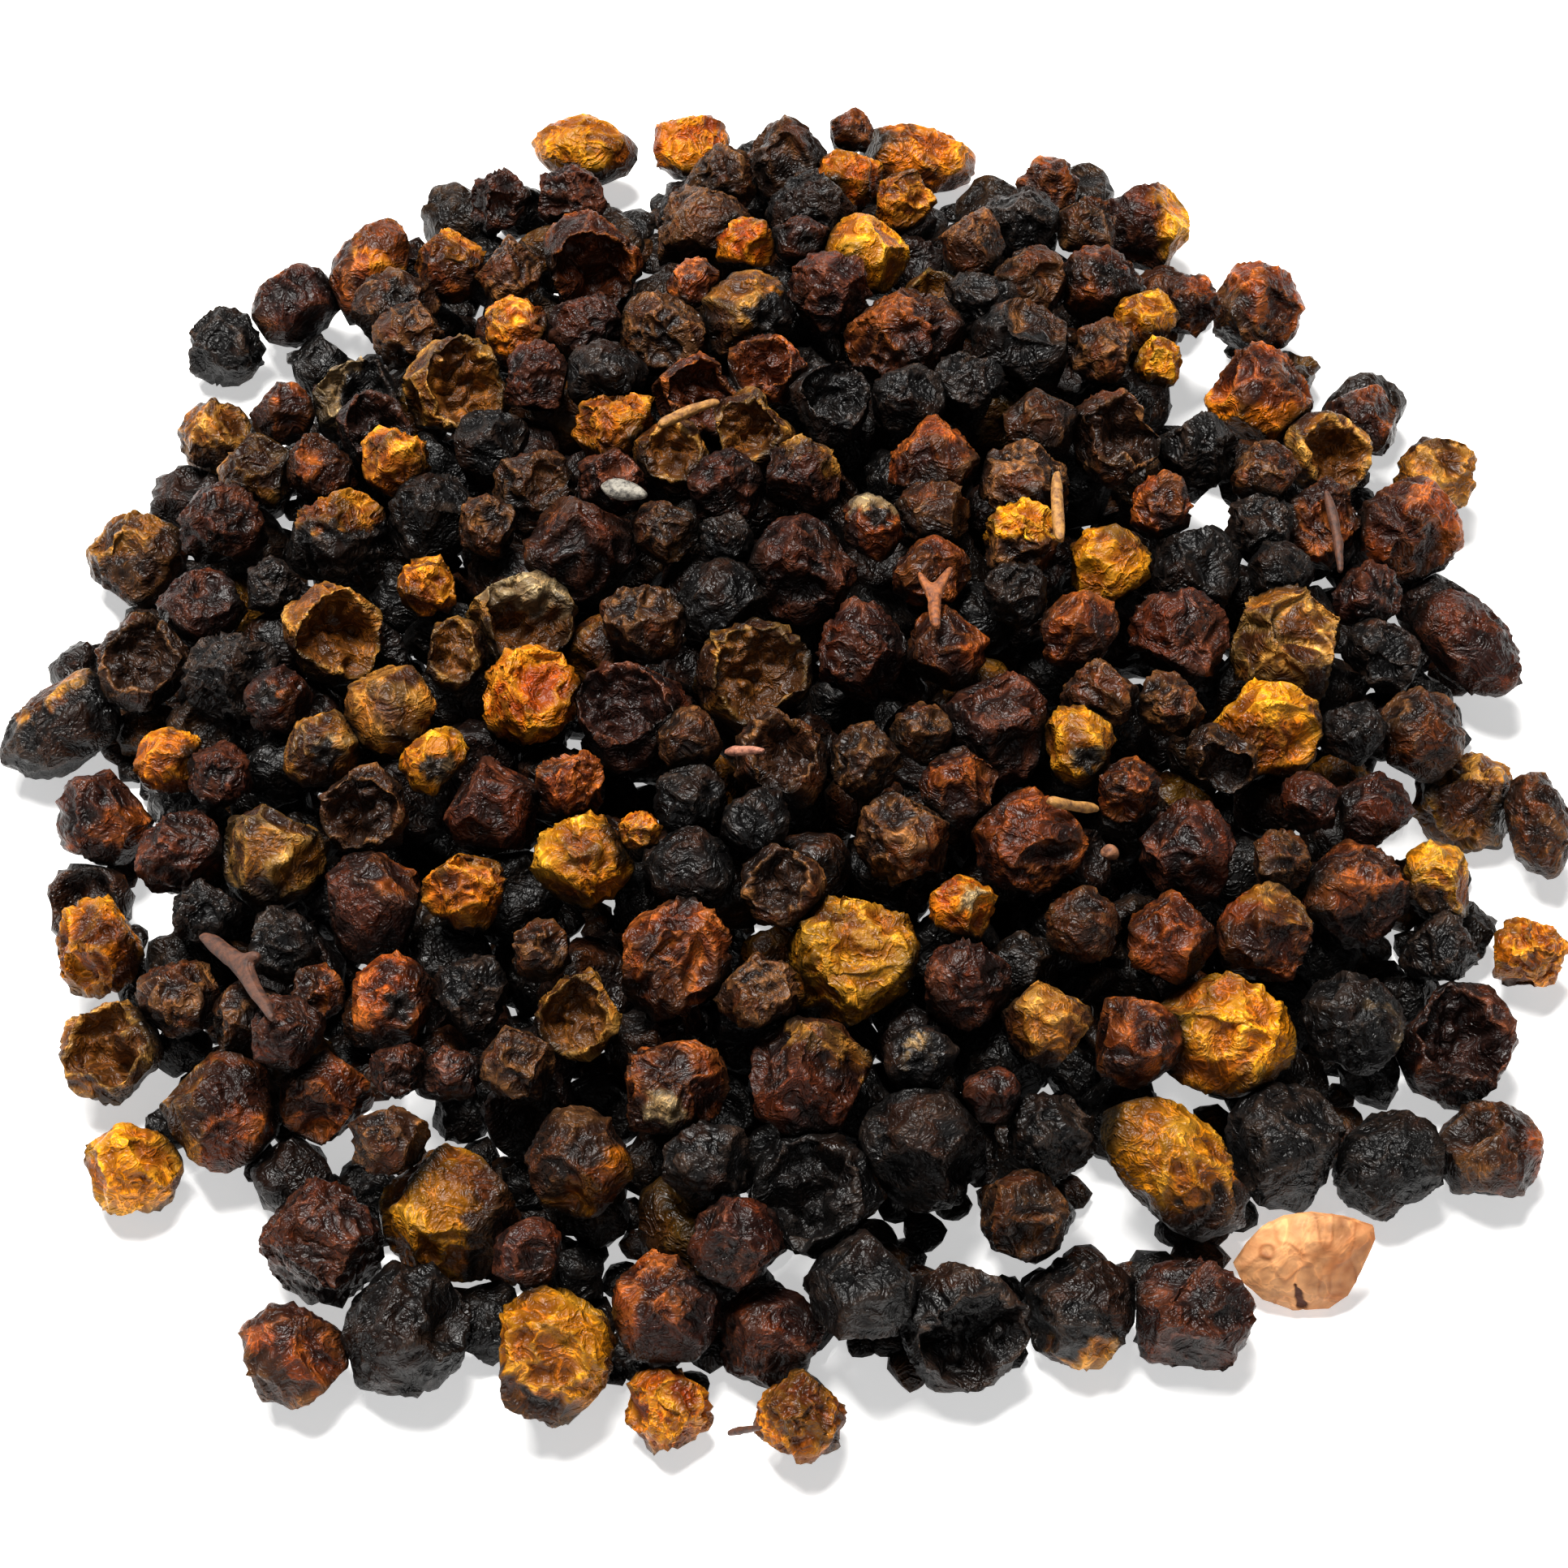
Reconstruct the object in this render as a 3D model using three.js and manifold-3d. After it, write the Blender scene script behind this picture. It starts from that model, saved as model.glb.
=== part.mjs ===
// Heap of dried rowan berries, poured loose onto a flat surface.
// Millimetres, +Z up, +X to the right and +Y away from someone who stands in front of the heap.

import * as THREE from 'three';
import Module from 'manifold-3d';

const wasm = await Module();
wasm.setup();

// Size of the heap
const HALF_WIDTH = 47;
const HALF_DEPTH = 53;
const MIDDLE_Y = 1;
const RIM_HEIGHT = 5.6;
const CROWN_HEIGHT = 16.5;
const LOW_REACH = 6; // middles below this height can fall to the ground
const SHIFT_X = -0.08;
const SHIFT_Y = 0.35;

// The plane that the landmarks are given on: it faces a viewer in front of the heap
const AIM_Y = -3.5;
const VIEW_DISTANCE = 255;
const VIEW_TILT = THREE.MathUtils.degToRad(52);

// How the berries lie
const SEAT = 0.86;
const DROP = 0.01;
const TOUCH = 0.5;
const GAP = 0.34;
const FULLNESS = 1.05;
const SEED = 4815;
const SURFACE_SHOTS = 5000;
const FLOOR_SHOTS = 5000;
const INNER_SHOTS = 30000;
const SURFACE_EDGE = 0.8;
const FLOOR_EDGE = 0.86;
const SMALLEST = 2.1;
const LARGEST = 3.1;

// How the berries are fused into solids
const BUNCHES = 46;
const FINE_FROM = 2.6;
const FEET = 8;
const FOOT_LIFT = 0.9;
const NECK_SHARES = [1, 0.5, 0.3, 0.18];

// How the loose bits are laid on the berries
const CLEAR_FROM = 0.85;
const CLEAR_TO = 1.2;
const CLEAR_STEP = 0.0005;
const ROD_SIDES = 6;
const LEAF_STEP = 0.02;

const TONES = {
  gold: { colour: '#c18a17', family: 'light' },
  ochre: { colour: '#8f6322', family: 'light' },
  amber: { colour: '#b8690f', family: 'light' },
  orange: { colour: '#cf6a0c', family: 'light' },
  rust: { colour: '#7c3516', family: 'dark' },
  claret: { colour: '#4b1d18', family: 'dark' },
  umber: { colour: '#47291a', family: 'dark' },
  soot: { colour: '#1d1a1c', family: 'dark' },
};

// Berries that show, each as across, up, width, tone, form and, for a long one, its turn in degrees
const LANDMARKS = [
  // Back left
  [-34.9, 27.5, 4.8, 'soot', 'crumpled'], [-30.1, 29.7, 5.3, 'claret', 'faceted'],
  [-25.2, 31.7, 4.9, 'amber', 'long', 60], [-20.9, 32.1, 4.4, 'amber', 'faceted'],
  [-35.2, 21.8, 4.4, 'ochre', 'faceted'], [-32.1, 19.6, 4.8, 'ochre', 'faceted'],
  [-23.8, 20.1, 4.2, 'amber', 'crumpled'], [-27.3, 23.8, 5.0, 'soot', 'shell'],
  [-23.1, 28.1, 4.3, 'umber', 'crumpled'], [-20.6, 24.3, 6.3, 'ochre', 'shell'],
  [-16.8, 31.8, 3.9, 'umber', 'crumpled'], [-17.6, 35.8, 4.0, 'claret', 'crumpled'],
  [-40.1, 14.8, 6.0, 'ochre', 'faceted'], [-34.6, 16.1, 5.1, 'claret', 'crumpled'],
  [-26.8, 15.6, 6.0, 'amber', 'crumpled'], [-18.3, 16.1, 3.8, 'umber', 'crumpled'],
  [-30.1, 23.3, 3.8, 'rust', 'faceted'], [-15.3, 25.3, 4.3, 'claret', 'crumpled'],
  // Back middle
  [-12.2, 39.2, 4.7, 'gold', 'long', -10], [-5.9, 39.8, 4.5, 'orange', 'faceted'],
  [-13.1, 36.1, 4.3, 'claret', 'crumpled'], [0.5, 38.1, 5.0, 'umber', 'faceted'],
  [3.5, 37.6, 4.1, 'orange', 'crumpled'], [4.1, 40.3, 3.0, 'rust', 'crumpled'],
  [9.2, 39.7, 5.3, 'amber', 'long', -8], [7.5, 36.3, 3.8, 'amber', 'crumpled'],
  [-11.1, 32.1, 5.9, 'rust', 'shell'], [-2.3, 33.7, 3.4, 'orange', 'crumpled'],
  [1.0, 34.1, 3.4, 'claret', 'starred'], [-7.3, 28.1, 5.3, 'umber', 'crumpled'],
  [-1.8, 29.1, 5.6, 'ochre', 'starred'], [2.0, 30.1, 5.0, 'claret', 'crumpled'],
  [-5.8, 31.3, 3.1, 'rust', 'crumpled'], [5.3, 32.8, 4.8, 'gold', 'faceted'],
  [7.5, 27.7, 6.9, 'rust', 'crumpled'], [14.2, 26.8, 5.6, 'soot', 'faceted'],
  [14.7, 34.6, 4.4, 'soot', 'crumpled'], [-10.5, 22.3, 5.1, 'amber', 'crumpled'],
  [-7.1, 20.3, 4.2, 'ochre', 'shell'], [-2.1, 22.1, 4.9, 'ochre', 'shell'],
  [3.2, 23.8, 4.9, 'soot', 'shell'], [9.7, 19.9, 5.8, 'rust', 'crumpled'],
  [5.1, 16.1, 3.8, 'rust', 'starred'], [-12.2, 14.3, 6.8, 'claret', 'faceted'],
  [-7.6, 15.8, 4.0, 'umber', 'crumpled'], [-3.8, 15.1, 3.6, 'soot', 'crumpled'],
  [1.0, 19.3, 4.5, 'claret', 'crumpled'],
  // Back right
  [16.7, 36.6, 3.8, 'rust', 'crumpled'], [22.1, 34.7, 5.4, 'claret', 'faceted'],
  [19.8, 30.7, 4.8, 'rust', 'starred'], [22.3, 29.4, 4.0, 'gold', 'faceted'],
  [24.6, 29.7, 3.6, 'rust', 'crumpled'], [29.2, 29.2, 5.6, 'rust', 'faceted'],
  [23.2, 26.3, 3.0, 'gold', 'crumpled'], [19.8, 26.7, 4.0, 'umber', 'crumpled'],
  [29.0, 23.8, 6.0, 'rust', 'faceted'], [19.8, 21.6, 5.4, 'umber', 'shell'],
  [25.5, 20.6, 4.8, 'soot', 'crumpled'], [33.5, 20.8, 4.9, 'ochre', 'shell'],
  [35.6, 22.7, 4.4, 'rust', 'faceted'], [40.2, 19.2, 4.9, 'ochre', 'faceted'],
  [37.5, 15.2, 6.1, 'rust', 'faceted'], [23.3, 17.3, 3.7, 'rust', 'crumpled'],
  [29.5, 18.7, 4.0, 'umber', 'crumpled'], [30.0, 16.1, 4.5, 'soot', 'crumpled'],
  [14.6, 15.6, 4.8, 'gold', 'crumpled'], [14.5, 11.8, 4.0, 'soot', 'crumpled'],
  [19.8, 13.7, 4.9, 'gold', 'faceted'], [16.7, 22.1, 4.6, 'umber', 'faceted'],
  // Left side
  [-35.8, 11.1, 5.0, 'claret', 'faceted'], [-31.6, 12.6, 3.6, 'soot', 'crumpled'],
  [-22.1, 12.8, 4.0, 'amber', 'crumpled'], [-27.6, 9.6, 5.8, 'ochre', 'shell'],
  [-40.1, 6.7, 5.5, 'umber', 'shell'], [-43.2, 4.5, 6.3, 'soot', 'long', 35],
  [-33.8, 6.3, 5.5, 'soot', 'crumpled'], [-31.6, 5.7, 4.0, 'claret', 'starred'],
  [-23.8, 5.1, 5.9, 'ochre', 'faceted'], [-20.3, 8.3, 4.0, 'ochre', 'shell'],
  [-28.6, 2.6, 4.5, 'ochre', 'starred'], [-20.9, 1.2, 3.9, 'gold', 'starred'],
  [-15.3, 5.5, 6.2, 'orange', 'crumpled'], [-16.1, 10.6, 6.0, 'ochre', 'shell'],
  [-37.6, 1.6, 4.2, 'amber', 'faceted'], [-35.1, 1.1, 4.0, 'claret', 'crumpled'],
  [-42.2, -2.2, 5.6, 'claret', 'faceted'], [-36.3, -4.2, 5.6, 'claret', 'crumpled'],
  [-31.6, -4.2, 6.1, 'ochre', 'netted'], [-25.8, -1.2, 5.0, 'umber', 'shell'],
  [-18.3, -0.7, 5.9, 'claret', 'faceted'], [-25.1, -7.2, 6.5, 'claret', 'faceted'],
  [-19.6, -6.0, 5.0, 'amber', 'crumpled'], [-42.3, -9.6, 5.8, 'amber', 'crumpled'],
  [-35.8, -7.7, 4.5, 'soot', 'crumpled'], [-37.6, -13.0, 4.8, 'umber', 'crumpled'],
  [-40.8, -15.8, 5.9, 'ochre', 'shell'], [-24.2, -13.0, 5.2, 'rust', 'starred'],
  [-19.2, -12.5, 4.8, 'soot', 'crumpled'], [-29.1, -13.0, 3.5, 'rust', 'crumpled'],
  [-29.6, -16.2, 4.5, 'claret', 'crumpled'],
  // Crown
  [-8.1, 10.3, 4.9, 'umber', 'crumpled'], [0.3, 13.5, 6.4, 'claret', 'faceted'],
  [9.2, 13.3, 4.6, 'rust', 'crumpled'], [4.7, 8.4, 5.5, 'claret', 'crumpled'],
  [10.0, 8.8, 4.9, 'rust', 'faceted'], [-1.8, 7.1, 6.3, 'ochre', 'shell'],
  [-9.8, 4.7, 6.5, 'claret', 'shell'], [-6.1, 2.6, 4.0, 'umber', 'faceted'],
  [0.2, 1.6, 5.8, 'umber', 'shell'], [4.6, 1.9, 4.4, 'umber', 'crumpled'],
  [8.6, 3.3, 3.8, 'umber', 'crumpled'], [13.2, 3.5, 6.5, 'claret', 'faceted'],
  [18.2, 3.3, 4.4, 'gold', 'starred'], [-5.6, -0.5, 4.4, 'soot', 'crumpled'],
  [-12.3, -4.3, 5.4, 'gold', 'crumpled'], [-8.9, -2.5, 2.6, 'amber', 'crumpled'],
  [-13.3, 0.3, 4.5, 'rust', 'crumpled'], [-5.8, -4.7, 4.8, 'soot', 'faceted'],
  [7.6, -3.1, 5.8, 'umber', 'crumpled'], [15.0, -3.6, 6.4, 'rust', 'faceted'],
  [0.2, -6.0, 4.8, 'umber', 'shell'], [4.0, -10.3, 8.0, 'gold', 'crumpled'],
  [11.0, -6.7, 4.1, 'orange', 'crumpled'], [11.2, -11.8, 5.6, 'claret', 'crumpled'],
  [-6.8, -10.5, 7.1, 'rust', 'crumpled'], [-12.6, -13.8, 5.4, 'ochre', 'shell'],
  [-15.1, -10.0, 3.8, 'umber', 'crumpled'], [-1.6, -12.5, 4.6, 'umber', 'crumpled'],
  [8.4, -16.3, 4.0, 'soot', 'starred'],
  // Right side
  [18.0, 9.1, 5.0, 'rust', 'faceted'], [24.5, 9.2, 5.6, 'claret', 'crumpled'],
  [25.2, 13.5, 5.8, 'soot', 'faceted'], [31.2, 8.6, 6.8, 'ochre', 'netted'],
  [30.5, 4.1, 6.3, 'amber', 'faceted'], [34.6, 3.7, 4.0, 'soot', 'starred'],
  [30.5, 13.3, 3.8, 'soot', 'faceted'], [36.0, 11.9, 4.3, 'claret', 'crumpled'],
  [37.0, 8.3, 4.6, 'soot', 'faceted'], [41.7, 8.9, 5.8, 'claret', 'long', -45],
  [19.0, 5.8, 4.8, 'umber', 'crumpled'], [23.8, 5.3, 4.0, 'umber', 'crumpled'],
  [26.7, 1.6, 4.2, 'umber', 'shell'], [21.1, 0.1, 4.0, 'rust', 'crumpled'],
  [24.8, -3.8, 6.0, 'claret', 'faceted'], [32.2, -0.7, 3.8, 'claret', 'crumpled'],
  [36.2, -1.2, 4.8, 'claret', 'faceted'], [30.7, -4.5, 3.8, 'umber', 'crumpled'],
  [35.0, -7.0, 6.4, 'rust', 'faceted'], [40.2, -6.4, 4.8, 'gold', 'netted'],
  [40.0, 2.4, 5.1, 'umber', 'faceted'], [42.6, 0.1, 6.1, 'ochre', 'crumpled'],
  [45.3, -1.6, 4.6, 'umber', 'long', -75], [45.6, -10.0, 4.7, 'amber', 'crumpled'],
  [18.5, -8.2, 4.4, 'umber', 'crumpled'], [23.6, -9.3, 5.5, 'rust', 'faceted'],
  [29.5, -9.5, 5.9, 'rust', 'faceted'], [28.3, -16.1, 7.8, 'gold', 'faceted'],
  [22.0, -15.5, 5.3, 'rust', 'faceted'], [16.0, -14.5, 5.3, 'ochre', 'faceted'],
  [40.5, -10.7, 4.5, 'soot', 'crumpled'], [35.7, -15.0, 6.0, 'soot', 'starred'],
  [39.6, -15.0, 7.3, 'claret', 'shell'],
  // Front left
  [-38.9, -22.3, 5.8, 'gold', 'faceted'], [-34.1, -20.3, 7.0, 'rust', 'faceted'],
  [-30.2, -17.5, 5.5, 'rust', 'faceted'], [-24.3, -17.3, 3.6, 'claret', 'crumpled'],
  [-20.3, -17.5, 3.5, 'claret', 'crumpled'], [-16.4, -17.2, 4.5, 'umber', 'crumpled'],
  [-23.1, -23.2, 4.9, 'umber', 'crumpled'], [-22.0, -25.2, 8.6, 'gold', 'faceted'],
  [-28.1, -27.2, 7.4, 'claret', 'crumpled'], [-29.0, -34.8, 6.4, 'rust', 'faceted'],
  [-22.5, -33.3, 7.8, 'soot', 'faceted'], [-15.0, -33.9, 8.0, 'gold', 'faceted'],
  [-15.8, -28.7, 4.5, 'claret', 'faceted'],
  // Front middle
  [-12.7, -23.0, 6.3, 'umber', 'faceted'], [-7.1, -18.5, 6.4, 'rust', 'crumpled'],
  [1.6, -18.8, 7.3, 'claret', 'faceted'], [9.0, -21.8, 7.1, 'soot', 'faceted'],
  [12.5, -19.0, 3.6, 'claret', 'faceted'], [-4.8, -23.2, 5.3, 'soot', 'crumpled'],
  [1.7, -24.8, 7.5, 'soot', 'shell'], [15.0, -26.3, 5.3, 'umber', 'faceted'],
  [-2.1, -29.0, 5.6, 'claret', 'faceted'], [-0.8, -32.0, 6.5, 'claret', 'faceted'],
  [5.0, -31.0, 6.5, 'soot', 'faceted'], [-7.3, -32.1, 6.6, 'rust', 'faceted'],
  [-7.2, -37.7, 5.3, 'orange', 'crumpled'], [0.7, -37.2, 5.6, 'amber', 'crumpled'],
  [9.8, -32.5, 7.4, 'soot', 'shell'], [18.0, -30.8, 6.9, 'soot', 'faceted'],
  // Front right
  [24.0, -23.1, 8.0, 'gold', 'long', -45],
  [25.5, -32.5, 7.1, 'claret', 'faceted'], [30.1, -19.8, 7.0, 'soot', 'faceted'],
  [37.5, -23.2, 6.4, 'soot', 'faceted'], [43.7, -22.5, 6.1, 'umber', 'faceted'],
  [16.2, -21.7, 5.5, 'soot', 'crumpled'],
];

// Dark berries low between the others, each as across, up and width on the landmark plane
const TUCKED = [
  [-18.3, -34.7, 3.8], [-15.7, -24.8, 3.6], [-12.9, -30.0, 4.2], [-25.2, -25.3, 3.2],
  [-37.5, -16.3, 3.6], [-38.4, -22.0, 3.0], [32.8, -10.7, 4.6], [38.5, -13.2, 3.8],
  [26.5, -9.6, 3.8], [18.0, -17.7, 4.2], [11.3, -16.3, 3.6], [29.3, -0.1, 3.6],
  [13.5, -31.9, 3.2], [-16.2, 35.1, 3.4], [-1.1, 35.1, 3.6], [-37.0, -0.8, 3.6],
  [-28.3, -7.4, 3.4], [37.1, -17.7, 3.8], [-20.0, -20.1, 3.8],
];

// Spots of the landmark plane, across, up and radius, where bare surface shows between berries
const CLEARINGS = [
  [1.3, -30.2, 1.0], [11.7, -29.0, 1.8], [24.5, -18.0, 1.3], [41.0, -20.0, 0.9],
  [25.7, 26.3, 1.2], [24.5, 23.3, 0.9], [26.2, 16.3, 1.5], [37.0, 19.3, 0.9],
  [-31.8, 23.8, 1.4], [-26.3, 27.6, 0.8], [-8.6, 37.2, 0.9], [-27.3, -21.2, 1.8],
  [-23.8, -29.7, 1.1], [-38.3, -7.5, 1.4], [38.5, 0.3, 1.4], [38.5, -3.7, 1.1],
  [20.7, -26.7, 2.2], [30.7, -25.2, 1.4], [-41.0, -1.5, 1.2],
  [31.0, -29.2, 2.6], [28.4, -29.4, 1.3], [33.9, -28.4, 1.8], [-22.4, -20.2, 1.2],
  [4.3, -37.3, 1.8], [-3.0, -37.4, 0.8], [-40.6, 18.0, 1.4], [-41.9, 11.0, 0.8],
  [-37.6, 22.5, 0.6], [43.7, 4.5, 1.5], [42.9, 12.9, 1.0], [44.3, -6.5, 1.0],
  [17.4, 39.3, 1.0], [26.8, 33.0, 1.0], [33.5, 26.3, 1.0], [-3.0, 40.6, 0.8],
  [8.6, 39.2, 2.2], [22.6, 34.6, 1.6],
];

// Bits of stalk that lie on the heap, each path as points across and up on the landmark plane
const STALKS = [
  { name: 'pale_twig', colour: '#b07a45', radius: 0.35, path: [[-7.8, 22.4], [-5.6, 23.4], [-4.1, 23.8]] },
  {
    name: 'standing_stalk',
    colour: '#8a6a2c',
    radius: 0.38,
    path: [[16.9, 15.2], [16.7, 17.6], [16.7, 19.5]],
  },
  { name: 'dark_stalk', colour: '#3a2015', radius: 0.3, path: [[33.3, 18.3], [34.0, 15.8], [34.2, 13.3]] },
  { name: 'short_twig', colour: '#a0683c', radius: 0.32, path: [[16.2, -0.7], [17.8, -1.1], [19.2, -1.2]] },
  { name: 'pink_twig', colour: '#9a5b4c', radius: 0.28, path: [[-3.7, 2.3], [-1.3, 2.4]] },
  { name: 'stalk_knob', colour: '#8a5a3a', radius: 0.5, path: [[19.7, -3.8], [20.3, -4.0]] },
  { name: 'front_stalk', colour: '#4a342c', radius: 0.2, path: [[-3.5, -39.6], [-1.5, -39.3]] },
];
const FORKED_TWIGS = [
  {
    name: 'forked_twig',
    colour: '#8a4a20',
    radius: 0.3,
    path: [[9.3, 9.9], [9.1, 11.8], [10.2, 13.6]],
    branch: [[9.1, 11.8], [8.2, 13.3]],
  },
  {
    name: 'branching_twig',
    colour: '#5c2c20',
    radius: 0.45,
    path: [[-35.8, -9.0], [-33.6, -10.8], [-31.5, -14.2]],
    branch: [[-33.6, -10.8], [-32.4, -10.2]],
  },
];

// Outlines of the dry husk at the front right and of a flake of chaff, on the landmark plane
const HUSK = {
  name: 'pale_husk',
  colour: '#c79668',
  outline: [
    [27.6, -29.25], [28.4, -28.0], [29.4, -27.0], [30.7, -26.35], [32.4, -26.1], [34.4, -26.35],
    [36.2, -26.9], [36.3, -27.6], [35.4, -29.6], [34.6, -31.1], [33.4, -31.9], [31.3, -32.0],
    [29.3, -31.3], [28.2, -30.3],
  ],
  thickness: 0.6,
  dome: 0.9,
  lean: 50,
  stands: true,
};
const FLAKE = {
  name: 'pale_flake',
  colour: '#8d8a84',
  outline: [[-11.5, 18.7], [-10.4, 19.2], [-8.8, 18.6], [-8.3, 17.9], [-9.9, 17.7], [-11.0, 18.0]],
  thickness: 0.5,
  dome: 0.2,
  lean: 30,
  stands: false,
};

// Evenly spread draws that come out the same every time
class Draws {
  constructor(seed) {
    this.state = seed;
    this.next();
    this.next();
  }

  next() {
    this.state = (this.state * 16807) % 2147483647;
    return this.state / 2147483647;
  }

  between(low, high) {
    return low + (high - low) * this.next();
  }
}

const EYE = new THREE.Vector3(
  0,
  AIM_Y - VIEW_DISTANCE * Math.cos(VIEW_TILT),
  VIEW_DISTANCE * Math.sin(VIEW_TILT),
);

// Where a point of the landmark plane is, carried along its sight line by the factor reach
function onSightLine(across, up, reach) {
  const x = across;
  const y = AIM_Y + up * Math.sin(VIEW_TILT);
  const z = up * Math.cos(VIEW_TILT);
  return {
    x: EYE.x + (x - EYE.x) * reach,
    y: EYE.y + (y - EYE.y) * reach,
    z: EYE.z + (z - EYE.z) * reach,
  };
}

// Zero in the middle of the heap and one at its rim
function spread(x, y) {
  const a = x / HALF_WIDTH;
  const b = (y - MIDDLE_Y) / HALF_DEPTH;
  return a * a + b * b;
}

function crownHeight(x, y) {
  return RIM_HEIGHT + (CROWN_HEIGHT - RIM_HEIGHT) * Math.max(0, 1 - spread(x, y));
}

function centreHeight(x, y, radius) {
  return Math.max(SEAT * radius, crownHeight(x, y) - radius);
}

function makeBerry(place, radius, tone, form, seen, turn) {
  return {
    x: place.x,
    y: place.y,
    z: place.z,
    anchorX: place.x,
    anchorY: place.y,
    anchorZ: place.z,
    radius,
    tone,
    form,
    seen,
    turn,
  };
}

// Where a place is seen on the landmark plane, across and up
function onPlane({ x, y, z }) {
  const dy = y - EYE.y;
  const dz = z - EYE.z;
  const reach = VIEW_DISTANCE / (dy * Math.cos(VIEW_TILT) - dz * Math.sin(VIEW_TILT));
  const up = (EYE.y + dy * reach - AIM_Y) * Math.sin(VIEW_TILT) + (EYE.z + dz * reach) * Math.cos(VIEW_TILT);
  return [x * reach, up];
}

function hidesClearing(place, radius) {
  const [across, up] = onPlane(place);
  return CLEARINGS.some(([u, v, room]) => {
    const least = room + 0.95 * radius;
    return (across - u) * (across - u) + (up - v) * (up - v) < least * least;
  });
}

// A landmark slides along its sight line until it lies at the height asked for
function slideBerry([across, up, width, tone, form, turn = 0], heightOf, seen) {
  let reach = 1;
  let radius = width / 2;
  let place = onSightLine(across, up, reach);
  for (let round = 0; round < 12; round += 1) {
    const height = heightOf(place.x, place.y, radius);
    reach *= (EYE.z - height) / (EYE.z - place.z);
    place = onSightLine(across, up, reach);
    radius = (width / 2) * reach;
  }
  return makeBerry(place, radius, tone, form, seen, turn);
}

function hasRoom(berries, place, radius, closeness) {
  return berries.every((berry) => {
    const dx = berry.x - place.x;
    const dy = berry.y - place.y;
    const dz = berry.z - place.z;
    const least = closeness * (berry.radius + radius);
    return dx * dx + dy * dy + dz * dz >= least * least;
  });
}

function drawTone(draws) {
  const share = draws.next();
  if (share < 0.22) return 'soot';
  if (share < 0.48) return 'claret';
  if (share < 0.7) return 'umber';
  if (share < 0.86) return 'rust';
  if (share < 0.91) return 'amber';
  if (share < 0.96) return 'ochre';
  return 'gold';
}

function drawForm(draws) {
  const share = draws.next();
  if (share < 0.55) return 'crumpled';
  if (share < 0.85) return 'faceted';
  if (share < 0.93) return 'shell';
  return 'starred';
}

// Throws berries at the heap and keeps those that find room
function scatter(berries, draws, shots, edge, closeness, seen, heightOf) {
  for (let shot = 0; shot < shots; shot += 1) {
    const x = draws.between(-HALF_WIDTH, HALF_WIDTH);
    const y = draws.between(MIDDLE_Y - HALF_DEPTH, MIDDLE_Y + HALF_DEPTH);
    const radius = draws.between(SMALLEST, LARGEST);
    const share = draws.next();
    if (spread(x, y) < edge) {
      const place = { x, y, z: heightOf(x, y, radius, share) };
      if (!hidesClearing(place, radius) && hasRoom(berries, place, radius, closeness)) {
        berries.push(makeBerry(place, radius, drawTone(draws), drawForm(draws), seen, 0));
      }
    }
  }
}

function nearPairs(berries, reach) {
  const pairs = [];
  for (let i = 0; i < berries.length; i += 1) {
    for (let j = i + 1; j < berries.length; j += 1) {
      const a = berries[i];
      const b = berries[j];
      const dx = b.x - a.x;
      const dy = b.y - a.y;
      const dz = b.z - a.z;
      const most = a.radius + b.radius + reach;
      if (dx * dx + dy * dy + dz * dz < most * most) {
        pairs.push([a, b]);
      }
    }
  }
  return pairs;
}

function pushApart(a, b) {
  const dx = b.x - a.x;
  const dy = b.y - a.y;
  const dz = b.z - a.z;
  const distance = Math.sqrt(dx * dx + dy * dy + dz * dz);
  const overlap = a.radius + b.radius - distance;
  if (overlap > 0) {
    const step = (0.5 * overlap) / distance;
    a.x -= dx * step;
    a.y -= dy * step;
    a.z -= dz * step;
    b.x += dx * step;
    b.y += dy * step;
    b.z += dz * step;
  }
}

// Lets the berries sink and shoulder each other aside, while hold draws them back to their places
function settle(berries, rounds, hold) {
  let pairs = [];
  for (let round = 0; round < rounds; round += 1) {
    if (round % 10 === 0) {
      pairs = nearPairs(berries, 1);
    }
    for (const berry of berries) {
      berry.x += hold * (berry.anchorX - berry.x);
      berry.y += hold * (berry.anchorY - berry.y);
      berry.z += hold * (berry.anchorZ - berry.z) - DROP;
    }
    for (const [a, b] of pairs) {
      pushApart(a, b);
    }
    for (const berry of berries) {
      berry.z = Math.max(berry.z, SEAT * berry.radius);
    }
  }
}

function distanceBetween(a, b) {
  const dx = b.x - a.x;
  const dy = b.y - a.y;
  const dz = b.z - a.z;
  return Math.sqrt(dx * dx + dy * dy + dz * dz);
}

// A berry that lies apart is slid over to its nearest neighbour
function closeUp(berries) {
  for (const berry of berries) {
    let nearest = null;
    let least = Infinity;
    for (const other of berries) {
      if (other !== berry) {
        const gap = distanceBetween(berry, other) - berry.radius - other.radius;
        if (gap < least) {
          least = gap;
          nearest = other;
        }
      }
    }
    if (least > 0.1) {
      const share = (least - 0.05) / distanceBetween(berry, nearest);
      berry.x += (nearest.x - berry.x) * share;
      berry.y += (nearest.y - berry.y) * share;
      berry.z = Math.max(SEAT * berry.radius, berry.z + (nearest.z - berry.z) * share);
    }
  }
}

// Lets the low berries that hang free down onto what lies under them
function letDown(berries) {
  for (const berry of [...berries].sort((a, b) => a.z - b.z)) {
    let rest = SEAT * berry.radius;
    for (const other of berries) {
      const room = berry.radius + other.radius;
      const square = (other.x - berry.x) ** 2 + (other.y - berry.y) ** 2;
      if (other !== berry && other.z <= berry.z && square < room * room) {
        rest = Math.max(rest, other.z + Math.sqrt(room * room - square));
      }
    }
    if (berry.z < LOW_REACH && rest < berry.z) {
      berry.z = rest;
    }
  }
}

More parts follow.
